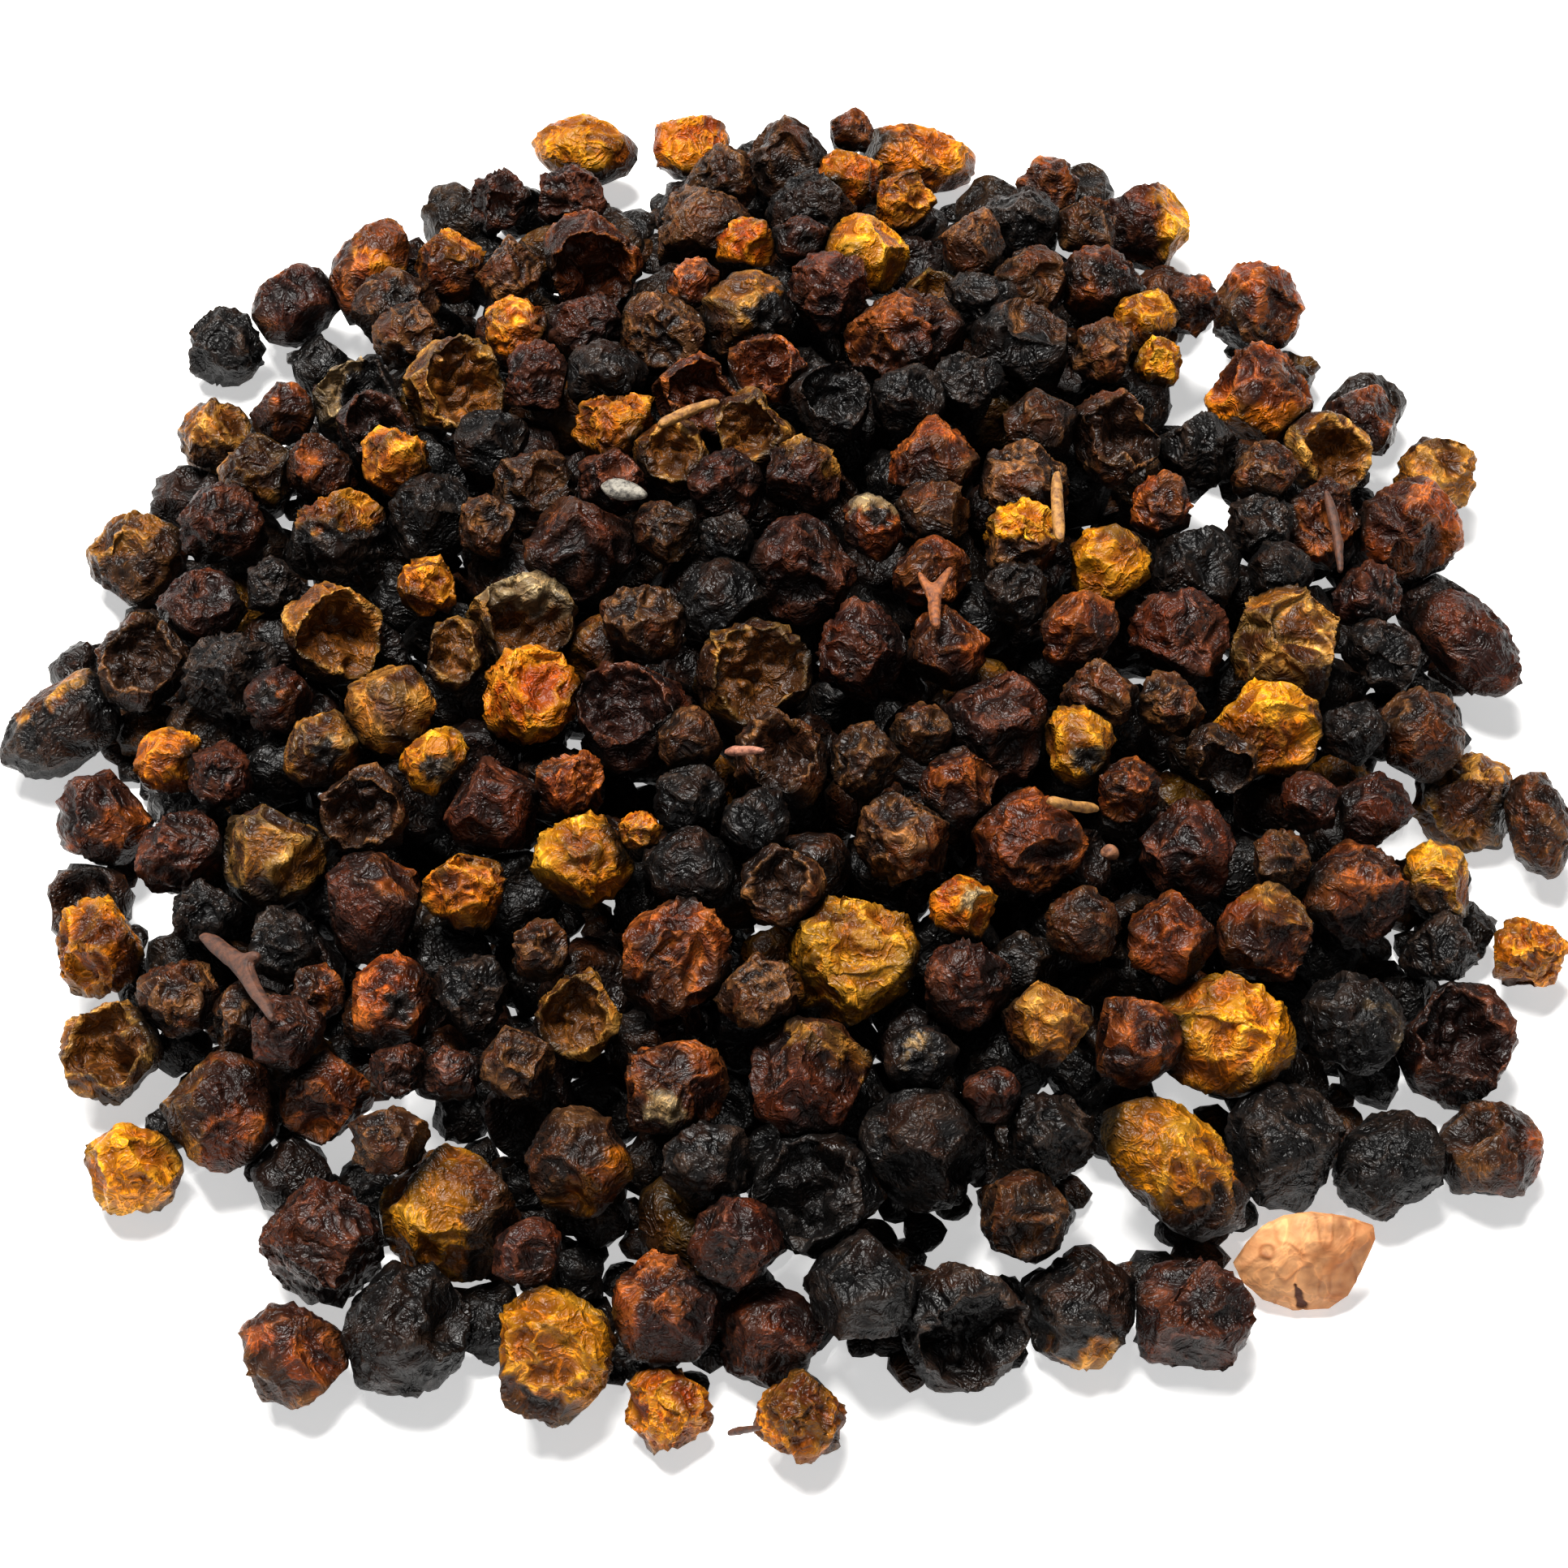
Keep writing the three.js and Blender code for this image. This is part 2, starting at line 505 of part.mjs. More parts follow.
function layHeap() {
  const draws = new Draws(SEED);
  const onFloor = (x, y, radius) => SEAT * radius;
  const berries = LANDMARKS.map((landmark) => slideBerry(landmark, centreHeight, true));
  settle(berries, 40, 0.1);
  for (const [across, up, width] of TUCKED) {
    berries.push(slideBerry([across, up, width, 'soot', 'crumpled'], onFloor, false));
  }
  scatter(berries, draws, SURFACE_SHOTS, SURFACE_EDGE, 0.86, true, centreHeight);
  scatter(berries, draws, FLOOR_SHOTS, FLOOR_EDGE, 0.92, false, onFloor);
  scatter(berries, draws, INNER_SHOTS, FLOOR_EDGE, 0.9, false, (x, y, radius, share) => {
    const low = SEAT * radius;
    return low + share * Math.max(0, crownHeight(x, y) - 2.2 * radius - low);
  });
  settle(berries, 160, 0.04);
  settle(berries, 40, 0);
  letDown(berries);
  closeUp(berries);
  closeUp(berries);
  for (const berry of berries) {
    berry.x += SHIFT_X;
    berry.y += SHIFT_Y;
  }
  return berries;
}

// Unit direction drawn at random
function drawDirection(draws) {
  const x = draws.between(-1, 1);
  const y = draws.between(-1, 1);
  const z = draws.between(-1, 1);
  return new THREE.Vector3(x, y, z + 0.001).normalize();
}

const TOWARDS_VIEWER = new THREE.Vector3(0, -Math.cos(VIEW_TILT), Math.sin(VIEW_TILT));
const UP_THE_VIEW = new THREE.Vector3(0, Math.sin(VIEW_TILT), Math.cos(VIEW_TILT));

// The main axis of a berry: its mouth, its star or its length
function mainAxis(berry, draws) {
  const stray = drawDirection(draws);
  if (berry.form === 'long') {
    const turn = THREE.MathUtils.degToRad(berry.turn);
    const axis = UP_THE_VIEW.clone().multiplyScalar(Math.sin(turn));
    return axis.add(new THREE.Vector3(Math.cos(turn), 0, 0)).normalize();
  }
  if (berry.form === 'shell' || berry.form === 'starred' || berry.form === 'netted') {
    return TOWARDS_VIEWER.clone().addScaledVector(stray, 0.45).normalize();
  }
  return stray;
}

// How far each form is drawn out along its main axis, how many dents it has, and how deep they are
const FORMS = {
  crumpled: { length: 0.94, breadth: 1.02, dents: 12, depth: 0.16, mouth: 0 },
  faceted: { length: 0.98, breadth: 1.02, dents: 9, depth: 0.14, mouth: 0 },
  shell: { length: 0.92, breadth: 1.06, dents: 8, depth: 0.12, mouth: 0.5 },
  starred: { length: 0.92, breadth: 1.04, dents: 10, depth: 0.1, mouth: 0.12 },
  netted: { length: 1.0, breadth: 1.04, dents: 14, depth: 0.16, mouth: 0 },
  long: { length: 1.3, breadth: 0.8, dents: 8, depth: 0.1, mouth: 0 },
};

const GOLDEN_TURN = Math.PI * (3 - Math.sqrt(5));

// Middles of the dents, spread over the ball and strayed from their even places
function dentMiddles(count, draws) {
  const middles = [];
  for (let k = 0; k < count; k += 1) {
    const z = 1 - (2 * k + 1) / count;
    const ring = Math.sqrt(1 - z * z);
    const even = new THREE.Vector3(ring * Math.cos(k * GOLDEN_TURN), ring * Math.sin(k * GOLDEN_TURN), z);
    const middle = even.addScaledVector(drawDirection(draws), 0.4).normalize();
    middles.push({ middle, depth: draws.between(0.5, 1.3) });
  }
  return middles;
}

// The surface of one berry as a distance from its centre in any direction, for a radius of one
class BerrySkin {
  constructor(berry, index) {
    const draws = new Draws(SEED + 7907 * (index + 1));
    this.form = FORMS[berry.form];
    this.axis = mainAxis(berry, draws);
    this.dents = dentMiddles(this.form.dents, draws);
    this.squash = draws.between(0.86, 1);
    this.side = new THREE.Vector3().crossVectors(this.axis, drawDirection(draws)).normalize();
  }

  // Dents meet in ridges, where two of their middles are equally near
  dentAt(direction) {
    let first = -2;
    let second = -2;
    let depth = 0;
    for (const dent of this.dents) {
      const nearness = direction.dot(dent.middle);
      if (nearness > first) {
        second = first;
        first = nearness;
        depth = dent.depth;
      } else if (nearness > second) {
        second = nearness;
      }
    }
    const inward = Math.min(1, (first - second) / 0.35);
    return this.form.depth * depth * inward * (2 - inward);
  }

  distance(direction) {
    const along = direction.dot(this.axis);
    const aside = direction.dot(this.side);
    const rest = Math.max(0, 1 - along * along - aside * aside);
    const { length, breadth, mouth } = this.form;
    const a = along / length;
    const b = aside / (breadth * this.squash);
    const ball = 1 / Math.sqrt(a * a + b * b + rest / (breadth * breadth));
    const hollow = mouth * Math.min(1, Math.max(0, (along - 0.62) / 0.25));
    return ball * (1 - this.dentAt(direction) - hollow);
  }
}

// The flat walls that keep a berry off its neighbours
function wallsOf(berry, berries) {
  const walls = [];
  for (const other of berries) {
    const distance = other === berry ? 0 : distanceBetween(berry, other);
    if (distance > 0 && distance < berry.radius + other.radius + 3) {
      const towards = new THREE.Vector3(other.x - berry.x, other.y - berry.y, other.z - berry.z);
      const share = distance * distance + berry.radius * berry.radius - other.radius * other.radius;
      walls.push({ towards: towards.divideScalar(distance), limit: share / (2 * distance) - GAP / 2 });
    }
  }
  return walls;
}

function skinDistance(berry, skin, walls, direction) {
  let distance = FULLNESS * berry.radius * skin.distance(direction);
  for (const wall of walls) {
    const facing = direction.dot(wall.towards);
    if (facing > 0) {
      distance = Math.min(distance, wall.limit / facing);
    }
  }
  return distance;
}

// A ball of triangles with a corner at each pole and staggered rings of corners between
function ringedBall(rings, sides) {
  const directions = [new THREE.Vector3(0, 0, 1)];
  for (let ring = 1; ring <= rings; ring += 1) {
    const fall = (Math.PI * ring) / (rings + 1);
    for (let side = 0; side < sides; side += 1) {
      const turn = (2 * Math.PI * (side + 0.5 * (ring % 2))) / sides;
      const out = Math.sin(fall);
      directions.push(new THREE.Vector3(out * Math.cos(turn), out * Math.sin(turn), Math.cos(fall)));
    }
  }
  directions.push(new THREE.Vector3(0, 0, -1));
  const corner = (ring, side) => 1 + (ring - 1) * sides + (side % sides);
  const last = directions.length - 1;
  const triangles = [];
  for (let side = 0; side < sides; side += 1) {
    triangles.push([0, corner(1, side), corner(1, side + 1)]);
    for (let ring = 1; ring < rings; ring += 1) {
      const lean = ring % 2;
      const [a, b] = [corner(ring, side), corner(ring, side + 1)];
      const [c, d] = [corner(ring + 1, side), corner(ring + 1, side + 1)];
      if (lean) {
        triangles.push([a, c, d], [a, d, b]);
      } else {
        triangles.push([a, c, b], [b, c, d]);
      }
    }
    triangles.push([last, corner(rings, side + 1), corner(rings, side)]);
  }
  return { directions, triangles };
}

const LARGE_BALL = ringedBall(3, 5);
const SMALL_BALL = ringedBall(2, 5);

function centreOf(berry) {
  return new THREE.Vector3(berry.x, berry.y, berry.z);
}

// The corners and triangles of one berry; a foot stands on a small flat spot
function berryShell(berry, berries, isFoot) {
  const ball = isFoot || (berry.seen && berry.radius > FINE_FROM) ? LARGE_BALL : SMALL_BALL;
  const skin = new BerrySkin(berry, berries.indexOf(berry));
  const walls = wallsOf(berry, berries);
  const centre = centreOf(berry);
  const corners = ball.directions.map((direction) => {
    const distance = skinDistance(berry, skin, walls, direction);
    const corner = centre.clone().addScaledVector(direction, distance);
    corner.z = isFoot && corner.z < FOOT_LIFT ? 0 : Math.max(0, corner.z);
    return corner;
  });
  return { centre, triangles: ball.triangles.map((triangle) => triangle.map((k) => corners[k])) };
}

// The triangles of a shell that look most nearly along a direction, the best first
function facesTowards(shell, direction) {
  const looks = shell.triangles.map((triangle) => {
    const middle = new THREE.Vector3();
    triangle.forEach((corner) => middle.add(corner));
    const facing = middle.divideScalar(3).sub(shell.centre).normalize().dot(direction);
    return { triangle, facing };
  });
  looks.sort((one, other) => other.facing - one.facing);
  return looks.slice(0, 3).map((look) => look.triangle);
}

// Whether the stretch from p to q goes through the triangle a, b, c
function pierces(p, q, [a, b, c]) {
  const edge1 = b.clone().sub(a);
  const edge2 = c.clone().sub(a);
  const run = q.clone().sub(p);
  const across = new THREE.Vector3().crossVectors(run, edge2);
  const scale = edge1.dot(across);
  if (Math.abs(scale) < 1e-9) {
    return false;
  }
  const from = p.clone().sub(a);
  const u = from.dot(across) / scale;
  const turned = new THREE.Vector3().crossVectors(from, edge1);
  const v = run.dot(turned) / scale;
  const t = edge2.dot(turned) / scale;
  return u > -1e-4 && v > -1e-4 && u + v < 1.0001 && t > 1e-4 && t < 0.9999;
}

function trianglesCross(one, other) {
  for (const [first, second] of [[one, other], [other, one]]) {
    for (let k = 0; k < 3; k += 1) {
      const [p, q] = [first[k], first[(k + 1) % 3]];
      if (!second.includes(p) && !second.includes(q) && pierces(p, q, second)) {
        return true;
      }
    }
  }
  return false;
}

// A triangle drawn in towards its middle, with the six triangles that lead to it from its rim
function drawnIn(triangle, share) {
  if (share === 1) {
    return { mouth: triangle, collar: [] };
  }
  const middle = new THREE.Vector3();
  triangle.forEach((corner) => middle.addScaledVector(corner, 1 / 3));
  const mouth = triangle.map((corner) => middle.clone().lerp(corner, share));
  const collar = [];
  for (let k = 0; k < 3; k += 1) {
    const next = (k + 1) % 3;
    collar.push([triangle[k], triangle[next], mouth[next]], [triangle[k], mouth[next], mouth[k]]);
  }
  return { mouth, collar };
}

// The sleeve between two mouths that face each other, paired the way that makes it shortest
function sleeve(first, second) {
  const facing = [second[0], second[2], second[1]];
  const length = (turn) =>
    first.reduce((sum, corner, k) => sum + corner.distanceTo(facing[(k + turn) % 3]), 0);
  const turn = [0, 1, 2].reduce((best, other) => (length(other) < length(best) ? other : best));
  const triangles = [];
  for (let k = 0; k < 3; k += 1) {
    const next = (k + 1) % 3;
    const [p, q] = [first[k], facing[(k + turn) % 3]];
    const [nextP, nextQ] = [first[next], facing[(next + turn) % 3]];
    triangles.push([p, nextP, nextQ], [p, nextQ, q]);
  }
  return triangles;
}

// Joins two berries by a neck between triangles that face each other, as wide as has room
function joinBerries(from, to, all) {
  const direction = to.centre.clone().sub(from.centre).normalize();
  for (const share of NECK_SHARES) {
    for (const first of facesTowards(from, direction)) {
      for (const second of facesTowards(to, direction.clone().negate())) {
        const [start, end] = [drawnIn(first, share), drawnIn(second, share)];
        const neck = sleeve(start.mouth, end.mouth);
        const rest = all.filter((triangle) => triangle !== first && triangle !== second);
        const others = [...rest, ...start.collar, ...end.collar, ...neck];
        if (!neck.some((part) => others.some((triangle) => trianglesCross(part, triangle)))) {
          from.triangles.splice(from.triangles.indexOf(first), 1);
          to.triangles.splice(to.triangles.indexOf(second), 1);
          from.triangles.push(...start.collar);
          to.triangles.push(...end.collar);
          return others;
        }
      }
    }
  }
  throw new Error('no room for a neck');
}

// The berries of a bunch, joined one to the next
function bunchGeometry(bunch, berries, feet) {
  const shells = new Map();
  for (const berry of bunch.members) {
    shells.set(berry, berryShell(berry, berries, feet.has(berry)));
  }
  let all = [...shells.values()].flatMap((shell) => shell.triangles);
  for (const [a, b] of bunch.joins) {
    all = joinBerries(shells.get(a), shells.get(b), all);
  }
  const corners = [...new Set(all.flat())];
  const number = new Map(corners.map((corner, k) => [corner, k]));
  return geometryOf(corners, all.map((triangle) => triangle.map((corner) => number.get(corner))));
}

// The berries that touch each berry
function touching(berries) {
  const neighbours = new Map(berries.map((berry) => [berry, []]));
  for (const [a, b] of nearPairs(berries, TOUCH)) {
    neighbours.get(a).push(b);
    neighbours.get(b).push(a);
  }
  return neighbours;
}

// Berries far from one another, from which the bunches grow
function bunchSeeds(berries) {
  const seeds = [berries[0]];
  while (seeds.length < BUNCHES) {
    let best = null;
    let most = -1;
    for (const berry of berries) {
      const least = Math.min(...seeds.map((seed) => distanceBetween(seed, berry)));
      if (least > most) {
        most = least;
        best = berry;
      }
    }
    seeds.push(best);
  }
  return seeds;
}

// Each bunch in turn, smallest first, takes the touching berry that suits it best
function growBunches(berries) {
  const neighbours = touching(berries);
  const bunches = bunchSeeds(berries).map((seed) => ({ members: [seed], joins: [] }));
  const taken = new Set(bunches.map((bunch) => bunch.members[0]));
  const open = new Set(bunches);
  while (open.size > 0) {
    const bunch = [...open].reduce((a, b) => (b.members.length < a.members.length ? b : a));
    let best = null;
    for (const member of bunch.members) {
      for (const next of neighbours.get(member)) {
        if (!taken.has(next)) {
          const apart = TONES[next.tone].family === TONES[bunch.members[0].tone].family ? 0 : 2.5;
          const cost = distanceBetween(bunch.members[0], next) + apart;
          if (best === null || cost < best.cost) {
            best = { cost, member, next };
          }
        }
      }
    }
    if (best === null) {
      open.delete(bunch);
    } else {
      taken.add(best.next);
      bunch.members.push(best.next);
      bunch.joins.push([best.member, best.next]);
    }
  }
  const left = berries.filter((berry) => !taken.has(berry));
  return { bunches, left };
}

const berries = layHeap();
const feet = chooseFeet(berries);
const { bunches, left } = growBunches(berries);

const heap = new THREE.Group();
heap.name = 'dried_rowan_berries';

// How far along its sight line a point can go before it comes too near a berry or the ground
function clearReach(across, up, room) {
  for (let reach = CLEAR_FROM; reach < CLEAR_TO; reach += CLEAR_STEP) {
    const place = onSightLine(across, up, reach);
    const isNear = berries.some((berry) => {
      const swell = berry.form === 'long' ? 1.3 : 1;
      return distanceBetween(berry, place) < FULLNESS * swell * berry.radius + room;
    });
    if (isNear || place.z < room) {
      return reach - CLEAR_STEP;
    }
  }
  return CLEAR_TO;
}

// Points of a straight run laid on the heap, its ends slid along their sight lines
function layOn(path, room) {
  const [first, last] = [path[0], path[path.length - 1]];
  const mix = (share, from, to) => from + (to - from) * share;
  let lift = 0;
  const ends = [clearReach(...first, room), clearReach(...last, room)];
  for (let k = 1; k < 8; k += 1) {
    const share = k / 8;
    const across = mix(share, first[0], last[0]);
    const up = mix(share, first[1], last[1]);
    lift = Math.max(lift, mix(share, ends[0], ends[1]) - clearReach(across, up, room));
  }
  return (across, up) => {
    const total = Math.hypot(last[0] - first[0], last[1] - first[1]);
    const share = Math.hypot(across - first[0], up - first[1]) / total;
    const place = onSightLine(across, up, mix(share, ends[0], ends[1]) - lift);
    return new THREE.Vector3(place.x, place.y, place.z);
  };
}

function geometryOf(corners, triangles) {
  const geometry = new THREE.BufferGeometry();
  const places = corners.flatMap((corner) => corner.toArray());
  geometry.setAttribute('position', new THREE.Float32BufferAttribute(places, 3));
  geometry.setIndex(triangles.flat());
  return geometry;
}

// A rod with a round section along a run of points, a little thicker at its first end
function rod(points, radius) {
  const corners = [];
  const triangles = [];
  points.forEach((point, step) => {
    const before = points[Math.max(0, step - 1)];
    const after = points[Math.min(points.length - 1, step + 1)];
    const along = after.clone().sub(before).normalize();
    const side = new THREE.Vector3().crossVectors(along, TOWARDS_VIEWER).normalize();
    const lift = new THREE.Vector3().crossVectors(along, side);
    const girth = radius * (1.15 - (0.3 * step) / (points.length - 1));
    for (let k = 0; k < ROD_SIDES; k += 1) {
      const turn = (2 * Math.PI * k) / ROD_SIDES;
      const corner = point.clone().addScaledVector(side, girth * Math.cos(turn));
      corners.push(corner.addScaledVector(lift, girth * Math.sin(turn)));
    }
  });
  const last = (points.length - 1) * ROD_SIDES;
  for (let k = 0; k < ROD_SIDES; k += 1) {
    const next = (k + 1) % ROD_SIDES;
    for (let base = 0; base < last; base += ROD_SIDES) {
      const above = base + ROD_SIDES;
      triangles.push([base + k, base + next, above + next], [base + k, above + next, above + k]);
    }
    if (k > 0 && k < ROD_SIDES - 1) {
      triangles.push([0, k + 1, k], [last, last + k, last + k + 1]);
    }
  }
  return { corners, triangles };
}

function solidOf({ corners, triangles }) {
  const mesh = new wasm.Mesh({
    numProp: 3,
    vertProperties: new Float32Array(corners.flatMap((corner) => corner.toArray())),
    triVerts: new Uint32Array(triangles.flat()),
  });
  return new wasm.Manifold(mesh);
}

function addStalks() {
  for (const { name, colour, radius, path } of STALKS) {
    const lay = layOn(path, 1.15 * radius + GAP);
    const { corners, triangles } = rod(path.map(([across, up]) => lay(across, up)), radius);
    addSolid(name, geometryOf(corners, triangles), colour, 0.7);
  }
  for (const { name, colour, radius, path, branch } of FORKED_TWIGS) {
    const lay = layOn(path, 1.6 * radius + GAP);
    const points = path.map(([across, up]) => lay(across, up));
    const [root, tip] = [points[1], lay(...branch[1])];
    const cut = solidOf(rod(points, radius)).add(solidOf(rod([root, tip], 0.8 * radius))).getMesh();
    const geometry = new THREE.BufferGeometry();
    geometry.setAttribute('position', new THREE.Float32BufferAttribute(cut.vertProperties, 3));
    geometry.setIndex([...cut.triVerts]);
    addSolid(name, geometry, colour, 0.7);
  }
}

// Lays a leaf that leans towards the viewer, on the berries or, where it stands, on the ground
function layLeaf(flat, thickness, lean, stands) {
  const face = new THREE.Vector3(0, -Math.sin(lean), Math.cos(lean));
  const room = thickness / 2 + GAP;
  const onLeaf = ([u, v], height) => {
    const near = onSightLine(u, v, 1);
    const sight = new THREE.Vector3(near.x, near.y, near.z).sub(EYE);
    return EYE.clone().addScaledVector(sight, (height - face.dot(EYE)) / face.dot(sight));
  };
  const isClear = (place) => {
    const clear = (berry) => distanceBetween(berry, place) >= FULLNESS * berry.radius + room;
    return place.z >= 0.5 * thickness && berries.every(clear);
  };
  const fits = (height) => flat.every((point) => isClear(onLeaf(point, height)));
  const farthest = CROWN_HEIGHT + HALF_DEPTH;
  let height = stands ? -farthest : farthest;
  while (stands ? !fits(height) : fits(height - LEAF_STEP)) {
    height += stands ? LEAF_STEP : -LEAF_STEP;
  }
  return { face, places: flat.map((point) => onLeaf(point, height)) };
}

// A thin domed leaf: its rim, a raised ring inside it and a raised middle, on both faces
function addLeaf({ name, colour, outline, thickness, dome, lean, stands }) {
  const middle = [0, 1].map((k) => outline.reduce((sum, point) => sum + point[k], 0) / outline.length);
  const inner = outline.map(([u, v]) => [(u + middle[0]) / 2, (v + middle[1]) / 2]);
  const flat = [...outline, ...inner, middle];
  const tilt = THREE.MathUtils.degToRad(lean);
  const { face: facing, places } = layLeaf(flat, thickness, tilt, stands);
  const corners = [];
  for (const face of [0.5, -0.5]) {
    places.forEach((place, k) => {
      const rise = k < outline.length ? 0 : k < 2 * outline.length ? 0.75 : 1;
      corners.push(place.clone().addScaledVector(facing, face * thickness + rise * dome));
    });
  }
  const count = outline.length;
  const back = 2 * count + 1;
  const triangles = [];
  for (let k = 0; k < count; k += 1) {
    const next = (k + 1) % count;
    const face = [
      [k, next, count + next], [k, count + next, count + k], [count + k, count + next, 2 * count],
    ];
    for (const [a, b, c] of face) {
      triangles.push([a, c, b], [a + back, b + back, c + back]);
    }
    triangles.push([k, next, next + back], [k, next + back, k + back]);
  }
  addSolid(name, geometryOf(corners, triangles), colour, 0.6);
}

// Adds a solid, placed by the middle of its foot
function addSolid(name, geometry, colour, roughness) {
  geometry.computeBoundingBox();
  const middle = geometry.boundingBox.getCenter(new THREE.Vector3());
  middle.z = 0;
  geometry.translate(-middle.x, -middle.y, 0);
  const material = new THREE.MeshStandardMaterial({ color: colour, roughness, metalness: 0 });
  const mesh = new THREE.Mesh(geometry, material);
  mesh.name = name;
  mesh.position.copy(middle);
  heap.add(mesh);
}

// Berries spread round the heap that stand on flat spots
function chooseFeet(berries) {
  const feet = new Set();
  for (let k = 0; k < FEET; k += 1) {
    const turn = (2 * Math.PI * k) / FEET;
    const x = 0.7 * HALF_WIDTH * Math.cos(turn);
    const y = MIDDLE_Y + 0.7 * HALF_DEPTH * Math.sin(turn);
    let best = null;
    let least = Infinity;
    for (const berry of berries) {
      const away = Math.hypot(berry.x - x, berry.y - y, 4 * (berry.z - SEAT * berry.radius));
      if (away < least) {
        least = away;
        best = berry;
      }
    }
    feet.add(best);
  }
  return feet;
}

// Plain words for where a bunch lies in the heap
function placeName(bunch) {
  const count = bunch.members.length;
  const x = bunch.members.reduce((sum, berry) => sum + berry.x, 0) / count;
  const y = bunch.members.reduce((sum, berry) => sum + berry.y, 0) / count;
  const out = spread(x, y);
  const seen = bunch.members.some((berry) => berry.seen);
  const layer = seen ? (out < 0.2 ? 'crown' : 'slope') : 'core';
  const level = out > 0.62 ? 'rim' : layer;
  const depth = y - MIDDLE_Y < -12 ? 'front' : y - MIDDLE_Y > 12 ? 'back' : 'middle';
  const side = x < -10 ? 'left' : x > 10 ? 'right' : 'centre';
  return `berries_${level}_${depth}_${side}`;
}

const used = new Map();
for (const bunch of bunches) {
  const place = placeName(bunch);
  used.set(place, (used.get(place) ?? 0) + 1);
  const colour = new THREE.Color(0, 0, 0);
  for (const berry of bunch.members) {
    colour.add(new THREE.Color(TONES[berry.tone].colour).multiplyScalar(1 / bunch.members.length));
  }
  addSolid(`${place}_${used.get(place)}`, bunchGeometry(bunch, berries, feet), colour, 0.5);
}

addStalks();
addLeaf(HUSK);
addLeaf(FLAKE);

export default heap;
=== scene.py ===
"""Looks of a heap of dried rowan berries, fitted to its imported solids.

The layout is worked out in millimetres, from the same values and by the same steps as the solids,
so every fine berry lies where its plain one does. Meshes are in metres.
"""

import logging
import math
from collections.abc import Callable
from dataclasses import dataclass, field
from enum import Enum

import bmesh
import bpy
import numpy as np
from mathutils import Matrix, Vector


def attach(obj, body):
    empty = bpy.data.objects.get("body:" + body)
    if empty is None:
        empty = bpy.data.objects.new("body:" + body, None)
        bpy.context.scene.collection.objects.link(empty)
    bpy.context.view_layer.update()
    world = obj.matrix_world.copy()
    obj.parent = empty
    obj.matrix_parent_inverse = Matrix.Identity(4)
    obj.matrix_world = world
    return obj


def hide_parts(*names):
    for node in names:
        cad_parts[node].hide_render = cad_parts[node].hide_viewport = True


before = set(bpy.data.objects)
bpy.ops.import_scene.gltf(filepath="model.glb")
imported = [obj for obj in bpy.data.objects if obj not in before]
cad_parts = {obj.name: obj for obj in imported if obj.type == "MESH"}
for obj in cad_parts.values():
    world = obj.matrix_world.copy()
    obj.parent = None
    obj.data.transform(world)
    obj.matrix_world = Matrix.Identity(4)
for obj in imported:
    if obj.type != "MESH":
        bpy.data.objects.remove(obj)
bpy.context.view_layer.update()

BODY = "root"
MM = 0.001

# Size of the heap, in millimetres
HALF_WIDTH = 47.0
HALF_DEPTH = 53.0
MIDDLE_Y = 1.0
RIM_HEIGHT = 5.6
CROWN_HEIGHT = 16.5
LOW_REACH = 6.0
SHIFT_X = -0.08
SHIFT_Y = 0.35

# The plane that the landmarks are given on: it faces a viewer in front of the heap
AIM_Y = -3.5
VIEW_DISTANCE = 255.0
VIEW_TILT = 52 * (math.pi / 180)
PHOTO_WIDTH = 96.6

EYE = (0.0, AIM_Y - VIEW_DISTANCE * math.cos(VIEW_TILT), VIEW_DISTANCE * math.sin(VIEW_TILT))
TOWARDS_VIEWER = np.array([0.0, -math.cos(VIEW_TILT), math.sin(VIEW_TILT)])
UP_THE_VIEW = np.array([0.0, math.sin(VIEW_TILT), math.cos(VIEW_TILT)])
SENSOR_WIDTH = 36

# How the berries lie: share of the radius that the middle of one on the ground is above it, drop
# in a step, gap between skins, size of a skin for its clear radius, and gaps that are closed up
SEAT = 0.86
DROP = 0.01
GAP = 0.03
FULLNESS = 1.14
APART = 0.1
CLOSED = 0.05

# Draws: the first state, the steps from berry to berry and from noise to noise, and the numbers
# of the rule that makes one draw from another
SEED = 4815
BERRY_STEP = 7907
NOISE_STEP = 97
DRAW_FACTOR = 16807
DRAW_RANGE = 2147483647

# Throws, how far out they land, the least distance as a share of two radii, and the radii
SURFACE_SHOTS = 5000
FLOOR_SHOTS = 5000
INNER_SHOTS = 30000
SURFACE_EDGE = 0.8
FLOOR_EDGE = 0.86
SURFACE_CLOSENESS = 0.86
FLOOR_CLOSENESS = 0.92
INNER_CLOSENESS = 0.9
SMALLEST = 2.1
LARGEST = 3.1

# Depth of hidden berries under the surface, in radii, the share of a berry's radius that may hide
# a clearing, and the steps that find the height of a landmark
UNDER_SURFACE = 2.2
HIDING_SHARE = 0.95
SLIDE_STEPS = 12

# Reach of a berry's corners from its middle, in radii, and of its neighbours, in millimetres
OWN_REACH = 1.08
NEIGHBOUR_REACH = 3

# Corners nearer than this are one, in metres
JOIN_WITHIN = 1e-6

# Dark, light and brown of the husk
HUSK_TONES = ((150, 92, 52), (214, 160, 110), (70, 32, 14))

# How near a landmark a patch is meant for it
PATCH_REACH = 1.3

# Where a patch must start to be a spot, and how far spots lean towards their side
SPOT_FROM = 0.8
SPOT_LEAN = 0.45

# Share of the light that the dried skins keep
SKIN_DEPTH = 0.66

# Painted shade in the crevices between berries: its reach and how dark it is
CREVICE_SHADE_REACH = 0.5
CREVICE_SHADE = 0.8
